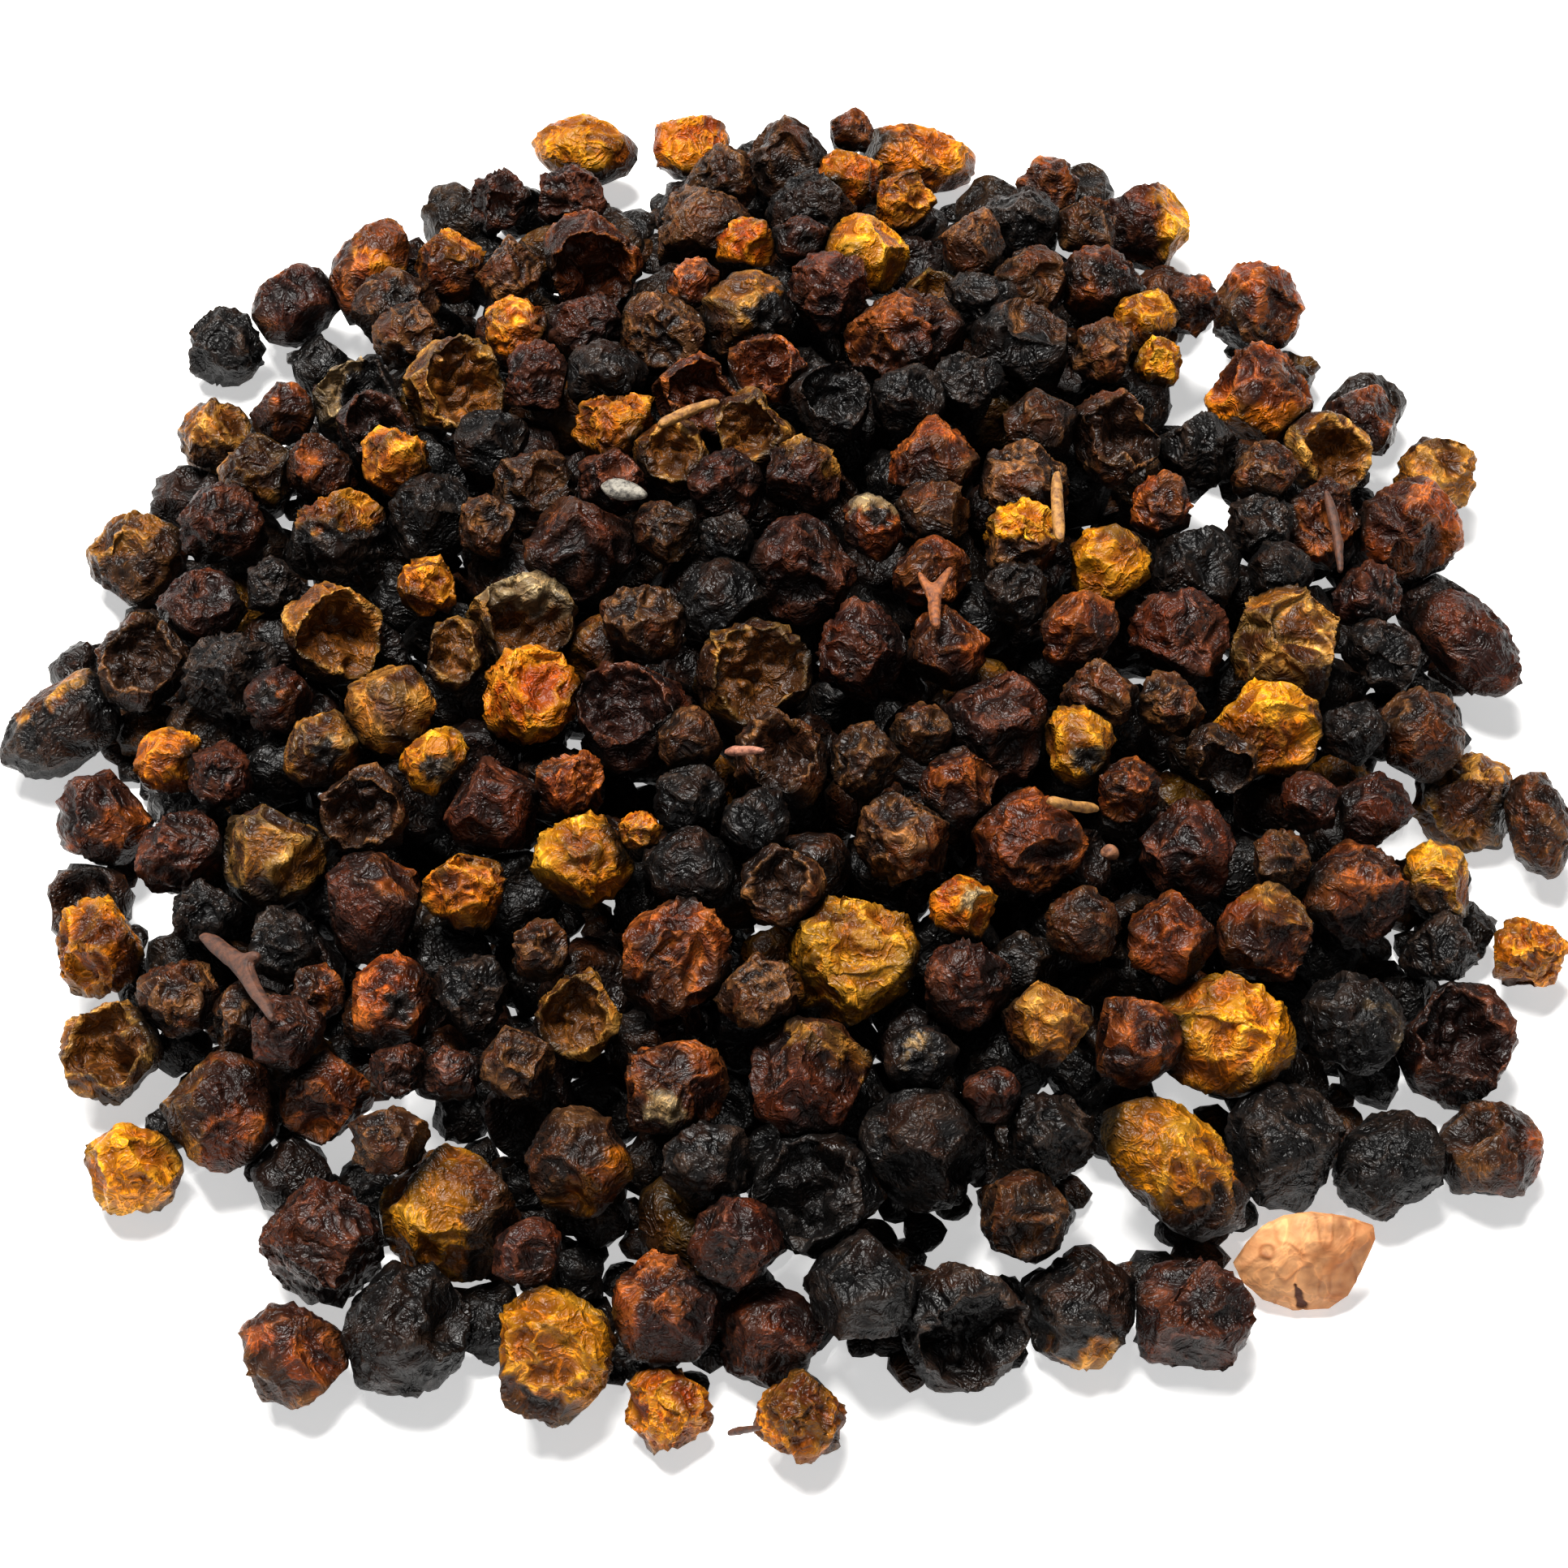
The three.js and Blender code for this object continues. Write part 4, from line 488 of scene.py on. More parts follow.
def unit(vectors: np.ndarray) -> np.ndarray:
    """Brings vectors to a length of one.

    Args:
        vectors: One vector, or one to a row.

    Returns:
        The vectors with a length of one.
    """
    return vectors / np.linalg.norm(vectors, axis=-1, keepdims=True)


@dataclass
class Berry:
    """One berry, in millimetres.

    Attributes:
        x: Place across the heap.
        y: Place from front to back.
        z: Height of the middle.
        radius: Radius that it keeps clear.
        tone: Its colour.
        form: Its shape.
        seen: Whether it lies on the heap's surface.
        turn: Direction of a long one on the landmark plane, in degrees.
        anchor: Place that it was first given.
    """

    x: float
    y: float
    z: float
    radius: float
    tone: Tone
    form: Form
    seen: bool
    turn: float = 0.0
    anchor: tuple[float, float, float] = (0.0, 0.0, 0.0)

    def __post_init__(self) -> None:
        """Keeps the first place."""
        self.anchor = (self.x, self.y, self.z)

    @property
    def centre(self) -> np.ndarray:
        """The middle as a vector."""
        return np.array([self.x, self.y, self.z])


# Gives the height of a berry's middle from x, y, its radius and, for a thrown one, a share drawn
# from 0 to 1
HeightRule = Callable[..., float]


def spread(x: float, y: float) -> float:
    """Tells how far out a place is.

    Args:
        x: Place across the heap.
        y: Place from front to back.

    Returns:
        Zero in the middle of the heap and one at its rim.
    """
    a = x / HALF_WIDTH
    b = (y - MIDDLE_Y) / HALF_DEPTH
    return a * a + b * b


def crown_height(x: float, y: float) -> float:
    """Gives the height of the heap's surface.

    Args:
        x: Place across the heap.
        y: Place from front to back.

    Returns:
        The height in millimetres.
    """
    return RIM_HEIGHT + (CROWN_HEIGHT - RIM_HEIGHT) * max(0, 1 - spread(x, y))


def centre_height(x: float, y: float, radius: float, share: float = 0.0) -> float:
    """Gives the height of a surface berry's middle.

    Args:
        x: Place across the heap.
        y: Place from front to back.
        radius: The berry's radius.
        share: Not used here.

    Returns:
        The height in millimetres.
    """
    return max(SEAT * radius, crown_height(x, y) - radius)


def floor_height(x: float, y: float, radius: float, share: float = 0.0) -> float:
    """Gives the height of the middle of a berry on the ground.

    Args:
        x: Not used here.
        y: Not used here.
        radius: The berry's radius.
        share: Not used here.

    Returns:
        The height in millimetres.
    """
    return SEAT * radius


def inner_height(x: float, y: float, radius: float, share: float) -> float:
    """Gives the height of a berry's middle somewhere under the surface.

    Args:
        x: Place across the heap.
        y: Place from front to back.
        radius: The berry's radius.
        share: How far up it lies, from 0 to 1.

    Returns:
        The height in millimetres.
    """
    low = SEAT * radius
    return low + share * max(0, crown_height(x, y) - UNDER_SURFACE * radius - low)


def on_sight_line(across: float, up: float, reach: float) -> tuple[float, float, float]:
    """Carries a point of the landmark plane along its sight line.

    Args:
        across: Place across the plane.
        up: Place up the plane.
        reach: Distance from the eye, as a share of the plane's.

    Returns:
        The point, in millimetres.
    """
    y = AIM_Y + up * math.sin(VIEW_TILT)
    z = up * math.cos(VIEW_TILT)
    return (across * reach, EYE[1] + (y - EYE[1]) * reach, EYE[2] + (z - EYE[2]) * reach)


def on_plane(x: float, y: float, z: float) -> tuple[float, float]:
    """Finds where a place is seen on the landmark plane.

    Args:
        x: Place across the heap.
        y: Place from front to back.
        z: Height.

    Returns:
        The place across and up the plane.
    """
    dy = y - EYE[1]
    dz = z - EYE[2]
    reach = VIEW_DISTANCE / (dy * math.cos(VIEW_TILT) - dz * math.sin(VIEW_TILT))
    back = EYE[1] + dy * reach - AIM_Y
    height = EYE[2] + dz * reach
    return x * reach, back * math.sin(VIEW_TILT) + height * math.cos(VIEW_TILT)


def hides_clearing(place: tuple[float, float, float], radius: float) -> bool:
    """Tells whether a berry would hide a spot where bare surface shows.

    Args:
        place: The berry's middle.
        radius: The berry's radius.

    Returns:
        Whether it covers part of a clearing.
    """
    across, up = on_plane(*place)
    for u, v, room in CLEARINGS:
        least = room + HIDING_SHARE * radius
        if (across - u) * (across - u) + (up - v) * (up - v) < least * least:
            return True
    return False


def slide_berry(landmark: Landmark, height_of: HeightRule, seen: bool) -> Berry:
    """Slides a berry along its sight line until it lies at the height asked for.

    Args:
        landmark: Across, up, width, tone, form and a long one's turn.
        height_of: Gives a middle's height from x, y and radius.
        seen: Whether it lies on the surface.

    Returns:
        The berry.
    """
    across, up, width, tone, form, *turn = landmark
    reach = 1.0
    radius = width / 2
    x, y, z = on_sight_line(across, up, reach)
    for _ in range(SLIDE_STEPS):
        height = height_of(x, y, radius)
        reach *= (EYE[2] - height) / (EYE[2] - z)
        x, y, z = on_sight_line(across, up, reach)
        radius = (width / 2) * reach
    return Berry(x, y, z, radius, tone, form, seen, turn[0] if turn else 0.0)


@dataclass
class Layout:
    """Lays the berries of the heap, in the same steps as the solids.

    Attributes:
        berries: Every berry, landmarks first.
    """

    berries: list[Berry] = field(default_factory=list)

    def lay(self) -> list[Berry]:
        """Lays the whole heap.

        Returns:
            The berries at rest.
        """
        draws = Draws(SEED)
        self.berries = [slide_berry(landmark, centre_height, True) for landmark in LANDMARKS]
        self.settle(40, 0.1)
        for tucked in TUCKED:
            landmark = (*tucked, Tone.SOOT, Form.CRUMPLED)
            self.berries.append(slide_berry(landmark, floor_height, False))
        self.scatter(draws, SURFACE_SHOTS, SURFACE_EDGE, SURFACE_CLOSENESS, True, centre_height)
        self.scatter(draws, FLOOR_SHOTS, FLOOR_EDGE, FLOOR_CLOSENESS, False, floor_height)
        self.scatter(draws, INNER_SHOTS, FLOOR_EDGE, INNER_CLOSENESS, False, inner_height)
        self.settle(160, 0.04)
        self.settle(40, 0)
        self.let_down()
        self.close_up()
        self.close_up()
        for berry in self.berries:
            berry.x += SHIFT_X
            berry.y += SHIFT_Y
        return self.berries

    def places(self) -> np.ndarray:
        """Gathers the middles and radii.

        Returns:
            One row of x, y, z and radius for each berry.
        """
        return np.array([[berry.x, berry.y, berry.z, berry.radius] for berry in self.berries])

    def scatter(
        self,
        draws: Draws,
        shots: int,
        edge: float,
        closeness: float,
        seen: bool,
        height_of: HeightRule,
    ) -> None:
        """Throws berries at the heap and keeps those that find room.

        Args:
            draws: Source of the draws.
            shots: Number of throws.
            edge: How far out they may land.
            closeness: Least distance, as a share of two radii.
            seen: Whether they lie on the surface.
            height_of: Gives a middle's height from x, y, radius and share.
        """
        table = np.zeros((len(self.berries) + shots, 4))
        count = len(self.berries)
        table[:count] = self.places()
        for _ in range(shots):
            x = draws.between(-HALF_WIDTH, HALF_WIDTH)
            y = draws.between(MIDDLE_Y - HALF_DEPTH, MIDDLE_Y + HALF_DEPTH)
            radius = draws.between(SMALLEST, LARGEST)
            share = draws.next()
            if spread(x, y) >= edge:
                continue
            z = height_of(x, y, radius, share)
            if hides_clearing((x, y, z), radius):
                continue
            away = table[:count, :3] - (x, y, z)
            least = closeness * (table[:count, 3] + radius)
            square = away[:, 0] * away[:, 0] + away[:, 1] * away[:, 1] + away[:, 2] * away[:, 2]
            if np.all(square >= least * least):
                tone = draw_tone(draws)
                self.berries.append(Berry(x, y, z, radius, tone, draw_form(draws), seen))
                table[count] = (x, y, z, radius)
                count += 1

    def near_pairs(self, reach: float) -> list[tuple[int, int]]:
        """Finds the berries that are close to each other.

        Args:
            reach: Greatest gap between them.

        Returns:
            Pairs of places in the list of berries.
        """
        table = self.places()
        away = table[:, None, :3] - table[None, :, :3]
        square = away[..., 0] ** 2 + away[..., 1] ** 2 + away[..., 2] ** 2
        most = table[:, None, 3] + table[None, :, 3] + reach
        first, second = np.nonzero(np.triu(square < most * most, 1))
        return list(zip(first.tolist(), second.tolist()))

    def settle(self, rounds: int, hold: float) -> None:
        """Lets the berries sink and shoulder each other aside.

        Args:
            rounds: Number of small steps.
            hold: How strongly each is drawn back to its first place.
        """
        pairs: list[tuple[int, int]] = []
        for step in range(rounds):
            if step % 10 == 0:
                pairs = self.near_pairs(1)
            for berry in self.berries:
                berry.x += hold * (berry.anchor[0] - berry.x)
                berry.y += hold * (berry.anchor[1] - berry.y)
                berry.z += hold * (berry.anchor[2] - berry.z) - DROP
            for first, second in pairs:
                push_apart(self.berries[first], self.berries[second])
            for berry in self.berries:
                berry.z = max(berry.z, SEAT * berry.radius)

    def let_down(self) -> None:
        """Lets the low berries that hang free down onto what lies under them."""
        for berry in sorted(self.berries, key=lambda each: each.z):
            rest = SEAT * berry.radius
            for other in self.berries:
                room = berry.radius + other.radius
                square = (other.x - berry.x) ** 2 + (other.y - berry.y) ** 2
                if other is not berry and other.z <= berry.z and square < room * room:
                    rest = max(rest, other.z + math.sqrt(room * room - square))
            if berry.z < LOW_REACH and rest < berry.z:
                berry.z = rest

    def close_up(self) -> None:
        """Slides each berry that lies apart over to its nearest neighbour."""
        table = self.places()
        for index, berry in enumerate(self.berries):
            away = table[:, :3] - table[index, :3]
            square = away[:, 0] * away[:, 0] + away[:, 1] * away[:, 1] + away[:, 2] * away[:, 2]
            distance = np.sqrt(square)
            gaps = distance - berry.radius - table[:, 3]
            gaps[index] = np.inf
            nearest = int(np.argmin(gaps))
            if gaps[nearest] > APART:
                share = float((gaps[nearest] - CLOSED) / distance[nearest])
                other = self.berries[nearest]
                berry.x += (other.x - berry.x) * share
                berry.y += (other.y - berry.y) * share
                berry.z = max(SEAT * berry.radius, berry.z + (other.z - berry.z) * share)
                table[index, :3] = (berry.x, berry.y, berry.z)


def draw_tone(draws: Draws) -> Tone:
    """Draws the tone of a berry that is no landmark.

    Args:
        draws: Source of the draws.

    Returns:
        The tone.
    """
    share = draws.next()
    return next(tone for limit, tone in TONE_LIMITS if share < limit)


def draw_form(draws: Draws) -> Form:
    """Draws the form of a berry that is no landmark.

    Args:
        draws: Source of the draws.

    Returns:
        The form.
    """
    share = draws.next()
    return next(form for limit, form in FORM_LIMITS if share < limit)


def push_apart(a: Berry, b: Berry) -> None:
    """Moves two berries out of each other, each by half.

    Args:
        a: One berry.
        b: The other berry.
    """
    dx = b.x - a.x
    dy = b.y - a.y
    dz = b.z - a.z
    distance = math.sqrt(dx * dx + dy * dy + dz * dz)
    overlap = a.radius + b.radius - distance
    if overlap > 0:
        step = (0.5 * overlap) / distance
        a.x -= dx * step
        a.y -= dy * step
        a.z -= dz * step
        b.x += dx * step
        b.y += dy * step
        b.z += dz * step


def lattice_noise(points: np.ndarray, seed: int) -> np.ndarray:
    """Gives smooth noise with a grain of about one.

    Args:
        points: One point to a row.
        seed: Whole number that the noise depends on.

    Returns:
        A value between -1 and 1 for each point.
    """
    cell = np.floor(points).astype(np.int64)
    part = points - cell
    part = part * part * (3 - 2 * part)
    total = np.zeros(len(points))
    for corner in range(8):
        offset = np.array([corner & 1, (corner >> 1) & 1, (corner >> 2) & 1])
        x, y, z = (cell + offset).T
        mixed = (x * 73856093) ^ (y * 19349663) ^ (z * 83492791) ^ (seed * 2654435761)
        mixed = (mixed & 0xFFFFFFFF) * 1103515245 + 12345
        mixed = ((mixed >> 7) ^ mixed) & 0xFFFFFF
        weight = np.prod(np.where(offset == 1, part, 1 - part), axis=1)
        total += weight * (mixed / 0xFFFFFF)
    return 2 * total - 1


def smooth_step(values: np.ndarray, low: float, high: float) -> np.ndarray:
    """Rises smoothly from 0 to 1.

    Args:
        values: Where to take it.
        low: Value at which it starts.
        high: Value at which it ends.

    Returns:
        The step for each value.
    """
    share = np.clip((values - low) / (high - low), 0, 1)
    return share * share * (3 - 2 * share)


def ridges_between(directions: np.ndarray, middles: np.ndarray) -> tuple[np.ndarray, np.ndarray]:
    """Finds how far each direction is from the ridge between its two nearest dents.

    Args:
        directions: One direction to a row.
        middles: Middle of each dent.

    Returns:
        The lead of the nearest dent over the next, and the nearest dent's number.
    """
    nearness = directions @ middles.T
    nearest = np.argmax(nearness, axis=1)
    rows = np.arange(len(directions))
    first = nearness[rows, nearest]
    nearness[rows, nearest] = -2
    return first - nearness.max(axis=1), nearest


def cave_in(
    places: np.ndarray, middle: np.ndarray, rim: np.ndarray, fold: float
) -> tuple[np.ndarray, np.ndarray, np.ndarray]:
    """Folds the cap of a thin skin back into the berry, like a dented ball.

    Args:
        places: Points of the skin, for a radius of one.
        middle: Direction of the cap's middle.
        rim: Height of the cap's rim at each point.
        fold: One to flatten the cap and two to turn it inside out.

    Returns:
        The points, how near each is to the rim and how far inside it, from 0 to 1.
    """
    over = places @ middle - rim
    moved = places - (fold * np.maximum(over, 0))[:, None] * middle
    return moved, np.exp(-((over / 0.035) ** 2)), smooth_step(over, 0.01, 0.1)


@dataclass
class Skin:
    """Shape and colour of one berry's surface.

    Attributes:
        berry: The berry.
        index: Its place in the layout, on which its draws depend.
    """

    berry: Berry
    index: int

    def __post_init__(self) -> None:
        """Draws the dents, the main axis and the lightness."""
        draws = Draws(SEED + BERRY_STEP * (self.index + 1))
        self.shape = FORM_SHAPES[self.berry.form]
        self.axis = self.main_axis(draws.direction())
        middles = []
        depths = []
        for k in range(self.shape.dents):
            z = 1 - (2 * k + 1) / self.shape.dents
            ring = math.sqrt(1 - z * z)
            even = np.array([ring * math.cos(k * GOLDEN_TURN), ring * math.sin(k * GOLDEN_TURN), z])
            middles.append(unit(even + 0.4 * draws.direction()))
            depths.append(draws.between(0.5, 1.3))
        self.middles = np.array(middles)
        self.depths = np.array(depths)
        self.squash = draws.between(0.86, 1)
        self.side = unit(np.cross(self.axis, draws.direction()))
        self.offset = np.array([draws.between(0, 50) for _ in range(3)])
        self.light = draws.between(0.82, 1.15)

    def main_axis(self, stray: np.ndarray) -> np.ndarray:
        """Chooses the direction of the mouth, the star or the length.

        Args:
            stray: A direction drawn at random.

        Returns:
            The axis.
        """
        if self.berry.form is Form.LONG:
            turn = math.radians(self.berry.turn)
            return unit(UP_THE_VIEW * math.sin(turn) + np.array([math.cos(turn), 0, 0]))
        if self.berry.form in (Form.SHELL, Form.STARRED, Form.NETTED):
            return unit(TOWARDS_VIEWER + 0.45 * stray)
        return stray

    def noise(self, directions: np.ndarray, grain: float, seed: int) -> np.ndarray:
        """Gives this berry's own noise.

        Args:
            directions: One direction to a row.
            grain: Number of grains over the radius.
            seed: Tells one noise of the berry from another.

        Returns:
            A value between -1 and 1 for each direction.
        """
        return lattice_noise(directions * grain + self.offset, NOISE_STEP * (self.index + 1) + seed)

    def crests(self, directions: np.ndarray, grain: float, seed: int) -> np.ndarray:
        """Finds the sharp crests of folds that wander over the skin.

        Args:
            directions: One direction to a row.
            grain: Number of folds over the radius.
            seed: Tells one set of folds from another.

        Returns:
            One on a crest and zero in the valleys.
        """
        fold = np.abs(self.noise(directions, grain, seed)) / 0.42
        return np.clip(1 - fold, 0, 1) ** 1.3

    def carve(self, directions: np.ndarray) -> tuple[np.ndarray, np.ndarray]:
        """Works out the surface.

        Args:
            directions: One direction to a row.

        Returns:
            The place of each point from the berry's middle, in millimetres, and the colour there.
        """
        shape = self.shape
        warp = np.stack([self.noise(directions, 2.1, k) for k in range(3)], axis=1)
        bent = unit(directions + 0.3 * warp)
        along = directions @ self.axis
        aside = directions @ self.side
        rest = np.maximum(0, 1 - along**2 - aside**2)
        breadth = shape.breadth
        across = breadth * self.squash
        ball = (along / shape.length) ** 2 + (aside / across) ** 2 + rest / breadth**2
        ball = 1 / np.sqrt(ball)
        lead, nearest = ridges_between(bent, self.middles)
        inward = np.minimum(1, lead / 0.35)
        dent = shape.depth * self.depths[nearest] * inward * (2 - inward)
        drawn = bent - shape.draw * (bent @ self.axis)[:, None] * self.axis
        wide, middling, fine = shape.folds
        relief = shape.lumps * self.noise(directions, 1.4, 4) - dent
        relief = relief + wide * (self.crests(drawn, 2.6, 5) - 0.4)
        relief = relief + middling * (self.crests(drawn + 0.05 * warp[:, ::-1], 5.0, 6) - 0.4)
        relief = relief + fine * (self.crests(drawn, 9.5, 7) - 0.4)
        height = (relief - relief.mean()) / relief.std()
        # Crests take the ridge colour, partly the pale colour of thin dry edges and partly a
        # painted highlight
        crest = np.maximum(smooth_step(height, 0.5, 1.7), 0.7 * smooth_step(0.06 - lead, 0, 0.06))
        inside = 0 * along
        radius = ball * (1 + relief)
        if self.berry.form is Form.NETTED:
            net = np.exp(-((lead / 0.05) ** 2))
            radius = radius + 0.07 * net
            crest = np.maximum(crest, net)
        if self.berry.form is Form.STARRED:
            radius, crest, inside = self.add_star(directions, radius, crest)
        places = directions * radius[:, None]
        wave = 0.05 * self.noise(directions, 2.3, 16)
        for middle, depth in zip(self.middles, self.depths):
            if depth > CAVE_FROM and self.may_cave(middle):
                share = (depth - CAVE_FROM) / (1.3 - CAVE_FROM)
                rim = CAVE_RIM[1] + (CAVE_RIM[0] - CAVE_RIM[1]) * share
                fold = 1 + CAVE_FOLD[0] + (CAVE_FOLD[1] - CAVE_FOLD[0]) * share
                places, edge, within = cave_in(places, middle, rim + wave, fold)
                # The rim of a caved dent takes the crest colour, partly a painted highlight
                crest = np.maximum(crest, 0.9 * edge)
                # The caved cap takes more of the painted hollow shade
                height = height - 1.2 * within
        if self.berry.form is Form.SHELL:
            wave = 0.12 * self.noise(directions, 1.9, 10) + 0.07 * self.noise(directions, 4.6, 11)
            places, edge, inside = cave_in(places, self.axis, MOUTH_RIM + wave, 1 + shape.mouth)
            veins = self.crests(directions, 3.6, 12)
            # The rim of the mouth takes the crest colour, partly a painted highlight on the thin
            # edge
            crest = np.maximum(crest * (1 - inside), np.maximum(1.2 * edge, 0.45 * veins * inside))
        colour = self.paint(directions, np.clip(crest, 0, 1), height, inside)
        return FULLNESS * self.berry.radius * places, colour

    def may_cave(self, middle: np.ndarray) -> bool:
        """Tells whether the skin may cave in at a dent.

        Args:
            middle: Middle of the dent.

        Returns:
            Whether it is clear of the mouth and the star.
        """
        if self.berry.form is Form.LONG:
            return False
        return self.berry.form not in (Form.SHELL, Form.STARRED) or float(middle @ self.axis) < 0.3

    def add_star(
        self, directions: np.ndarray, radius: np.ndarray, crest: np.ndarray
    ) -> tuple[np.ndarray, np.ndarray, np.ndarray]:
        """Raises the five-pointed calyx at the end of the main axis.

        Args:
            directions: One direction to a row.
            radius: Distance from the middle, for a radius of one.
            crest: How much of a crest there is.

        Returns:
            The distance, the crests and where the star is.
        """
        other = np.cross(self.axis, self.side)
        turn = np.arctan2(directions @ other, directions @ self.side)
        fall = np.arccos(np.clip(directions @ self.axis, -1, 1))
        point = 0.3 + 0.2 * np.abs(np.cos(2.5 * turn)) ** 1.5
        ragged = 0.09 * self.noise(directions, 7.0, 14)
        star = 1 - smooth_step(fall / (point + ragged), 0.75, 1.1)
        ring = np.exp(-(((fall - 0.55) / 0.12) ** 2))
        pit = 1 - smooth_step(fall, 0.04, 0.2)
        tufts = self.noise(directions, 13.0, 15)
        radius = radius + 0.05 * ring + 0.02 * star + 0.05 * star * tufts - 0.18 * pit
        return radius, crest * (1 - star), star

    def paint(
        self, directions: np.ndarray, crest: np.ndarray, height: np.ndarray, inside: np.ndarray
    ) -> np.ndarray:
        """Colours the surface.

        Args:
            directions: One direction to a row.
            crest: How much of a crest there is, from 0 to 1.
            height: Height of the relief, in standard deviations.
            inside: How far inside the mouth or the star it is.

        Returns:
            Red, green and blue from 0 to 1, as they look, one row for each direction.
        """
        colour = self.tone_colour(self.berry.tone, directions, crest, height, inside)
        for tone, turn, start in self.patches():
            angle = math.radians(turn)
            side = UP_THE_VIEW * math.sin(angle) + np.array([math.cos(angle), 0, 0])
            if start > SPOT_FROM:
                side = unit(TOWARDS_VIEWER + SPOT_LEAN * side)
            ragged = 0.3 * self.noise(directions, 2.2, 24) + 0.2 * self.noise(directions, 5.5, 25)
            reach = directions @ side + ragged
            share = smooth_step(reach, start - 0.05, start + 0.12)[:, None]
            colour += (self.tone_colour(tone, directions, crest, height, inside) - colour) * share
        if self.berry.form is Form.STARRED:
            fuzz = 0.5 + 0.5 * self.noise(directions, 16.0, 23)[:, None]
            dark = np.array([0.06, 0.05, 0.05]) + np.array([0.3, 0.27, 0.24]) * fuzz**4
            colour = colour + (dark - colour) * (0.9 * inside)[:, None]
        # Painted shade: each berry is darker towards its underside
        under = 1 - UNDERSIDE_SHADE * smooth_step(-directions[:, 2], -0.05, 0.8)
        return np.clip(colour * self.light * under[:, None], 0, 1)

    def patches(self) -> list[tuple[Tone, float, float]]:
        """Finds the second tones of this berry.

        Returns:
            The tone, the side in degrees and the start of each.
        """
        if self.index >= len(LANDMARKS):
            return []
        across, up = LANDMARKS[self.index][:2]
        return [
            (tone, turn, start)
            for x, y, tone, turn, start in PATCHES
            if math.hypot(x - across, y - up) < PATCH_REACH
        ]

    def tone_colour(
        self,
        tone: Tone,
        directions: np.ndarray,
        crest: np.ndarray,
        height: np.ndarray,
        inside: np.ndarray,
    ) -> np.ndarray:
        """Gives the colours of one tone on this berry's relief.

        Args:
            tone: The tone.
            directions: One direction to a row.
            crest: How much of a crest there is, from 0 to 1.
            height: Height of the relief, in standard deviations.
            inside: How far inside the mouth it is.

        Returns:
            Red, green and blue from 0 to 1, one row for each direction.
        """
        palette = PALETTES[tone]
        named = (palette.skin, palette.ridge, palette.hollow, palette.blotch)
        skin, ridge, hollow_shade, blotch = (np.array(colour) / 255 for colour in named)
        wide = self.noise(directions, 1.3, 20) + 0.45 * self.noise(directions, 3.4, 21)
        limit = 0.7 - 1.6 * palette.blotch_share
        stain = smooth_step(wide, limit - 0.12, limit + 0.18)[:, None]
        # Painted shade: low relief takes the hollow colour
        depth = smooth_step(-height, -0.3, 1.5)[:, None]
        mottle = 0.5 + 0.5 * self.noise(directions, 6.5, 22)[:, None]
        colour = skin + (blotch - skin) * stain * 0.85
        colour = colour + (hollow_shade - colour) * depth * (0.55 + 0.45 * mottle)
        # The ridge colour on the crests is partly a painted highlight
        crest_here = ridge * (1 - 0.4 * stain)
        colour = colour + (crest_here - colour) * (self.shape.crest * crest)[:, None]
        if self.berry.form is Form.SHELL:
            # Painted shade: the inside of a shell's mouth is darkened
            mouth_shade = 0.5 * hollow_shade + 0.45 * skin
            colour = colour + (mouth_shade - colour) * (0.8 * inside * (1 - 0.6 * crest))[:, None]
        return colour


def outward(berry: Berry) -> np.ndarray:
    """Tells which way a berry faces out of the heap.

    Args:
        berry: The berry.

    Returns:
        The direction.
    """
    share = 1.3 * spread(berry.x, berry.y)
    away = np.array([berry.x / HALF_WIDTH, (berry.y - MIDDLE_Y) / HALF_DEPTH, 0.0])
    return unit(share * away + np.array([0, 0, 1.0]))


def geodesic_ball(frequency: int) -> tuple[np.ndarray, np.ndarray]:
    """Makes an even ball of triangles.

    Args:
        frequency: Number of parts that each edge of the icosahedron is cut into.

    Returns:
        The corners' directions and the triangles.
    """
    golden = (1 + math.sqrt(5)) / 2
    base = [(0, s, t * golden) for s in (-1, 1) for t in (-1, 1)]
    corners = np.array(base + [(y, z, x) for x, y, z in base] + [(z, x, y) for x, y, z in base])
    corners = unit(corners)
    near = corners @ corners.T > 0.4
    faces = []
    for a in range(12):
        for b in range(a + 1, 12):
            for c in range(b + 1, 12):
                if near[a, b] and near[b, c] and near[a, c]:
                    normal = np.cross(corners[b] - corners[a], corners[c] - corners[a])
                    faces.append((a, b, c) if np.dot(normal, corners[a]) > 0 else (a, c, b))
    numbers: dict[tuple[float, ...], int] = {}
    directions = []
    triangles = []

    def number(point: np.ndarray) -> int:
        """Numbers a corner, and gives the same number to the same place.

        Args:
            point: The corner's direction.

        Returns:
            Its number.
        """
        key = tuple(np.round(point, 6) + 0.0)
        if key not in numbers:
            numbers[key] = len(directions)
            directions.append(point)
        return numbers[key]

    for a, b, c in faces:
        grid = {}
        for i in range(frequency + 1):
            for j in range(frequency + 1 - i):
                mixed = corners[a] * (frequency - i - j) + corners[b] * i + corners[c] * j
                grid[i, j] = number(unit(mixed))
        for i in range(frequency):
            for j in range(frequency - i):
                triangles.append((grid[i, j], grid[i + 1, j], grid[i, j + 1]))
                if i + j < frequency - 1:
                    triangles.append((grid[i + 1, j], grid[i + 1, j + 1], grid[i, j + 1]))
    return np.array(directions), np.array(triangles)


def to_linear(colour: np.ndarray) -> np.ndarray:
    """Turns a colour as it looks into the light it reflects.

    Args:
        colour: Values from 0 to 1.

    Returns:
        Linear values from 0 to 1.
    """
    return np.where(colour <= 0.04045, colour / 12.92, ((colour + 0.055) / 1.055) ** 2.4)


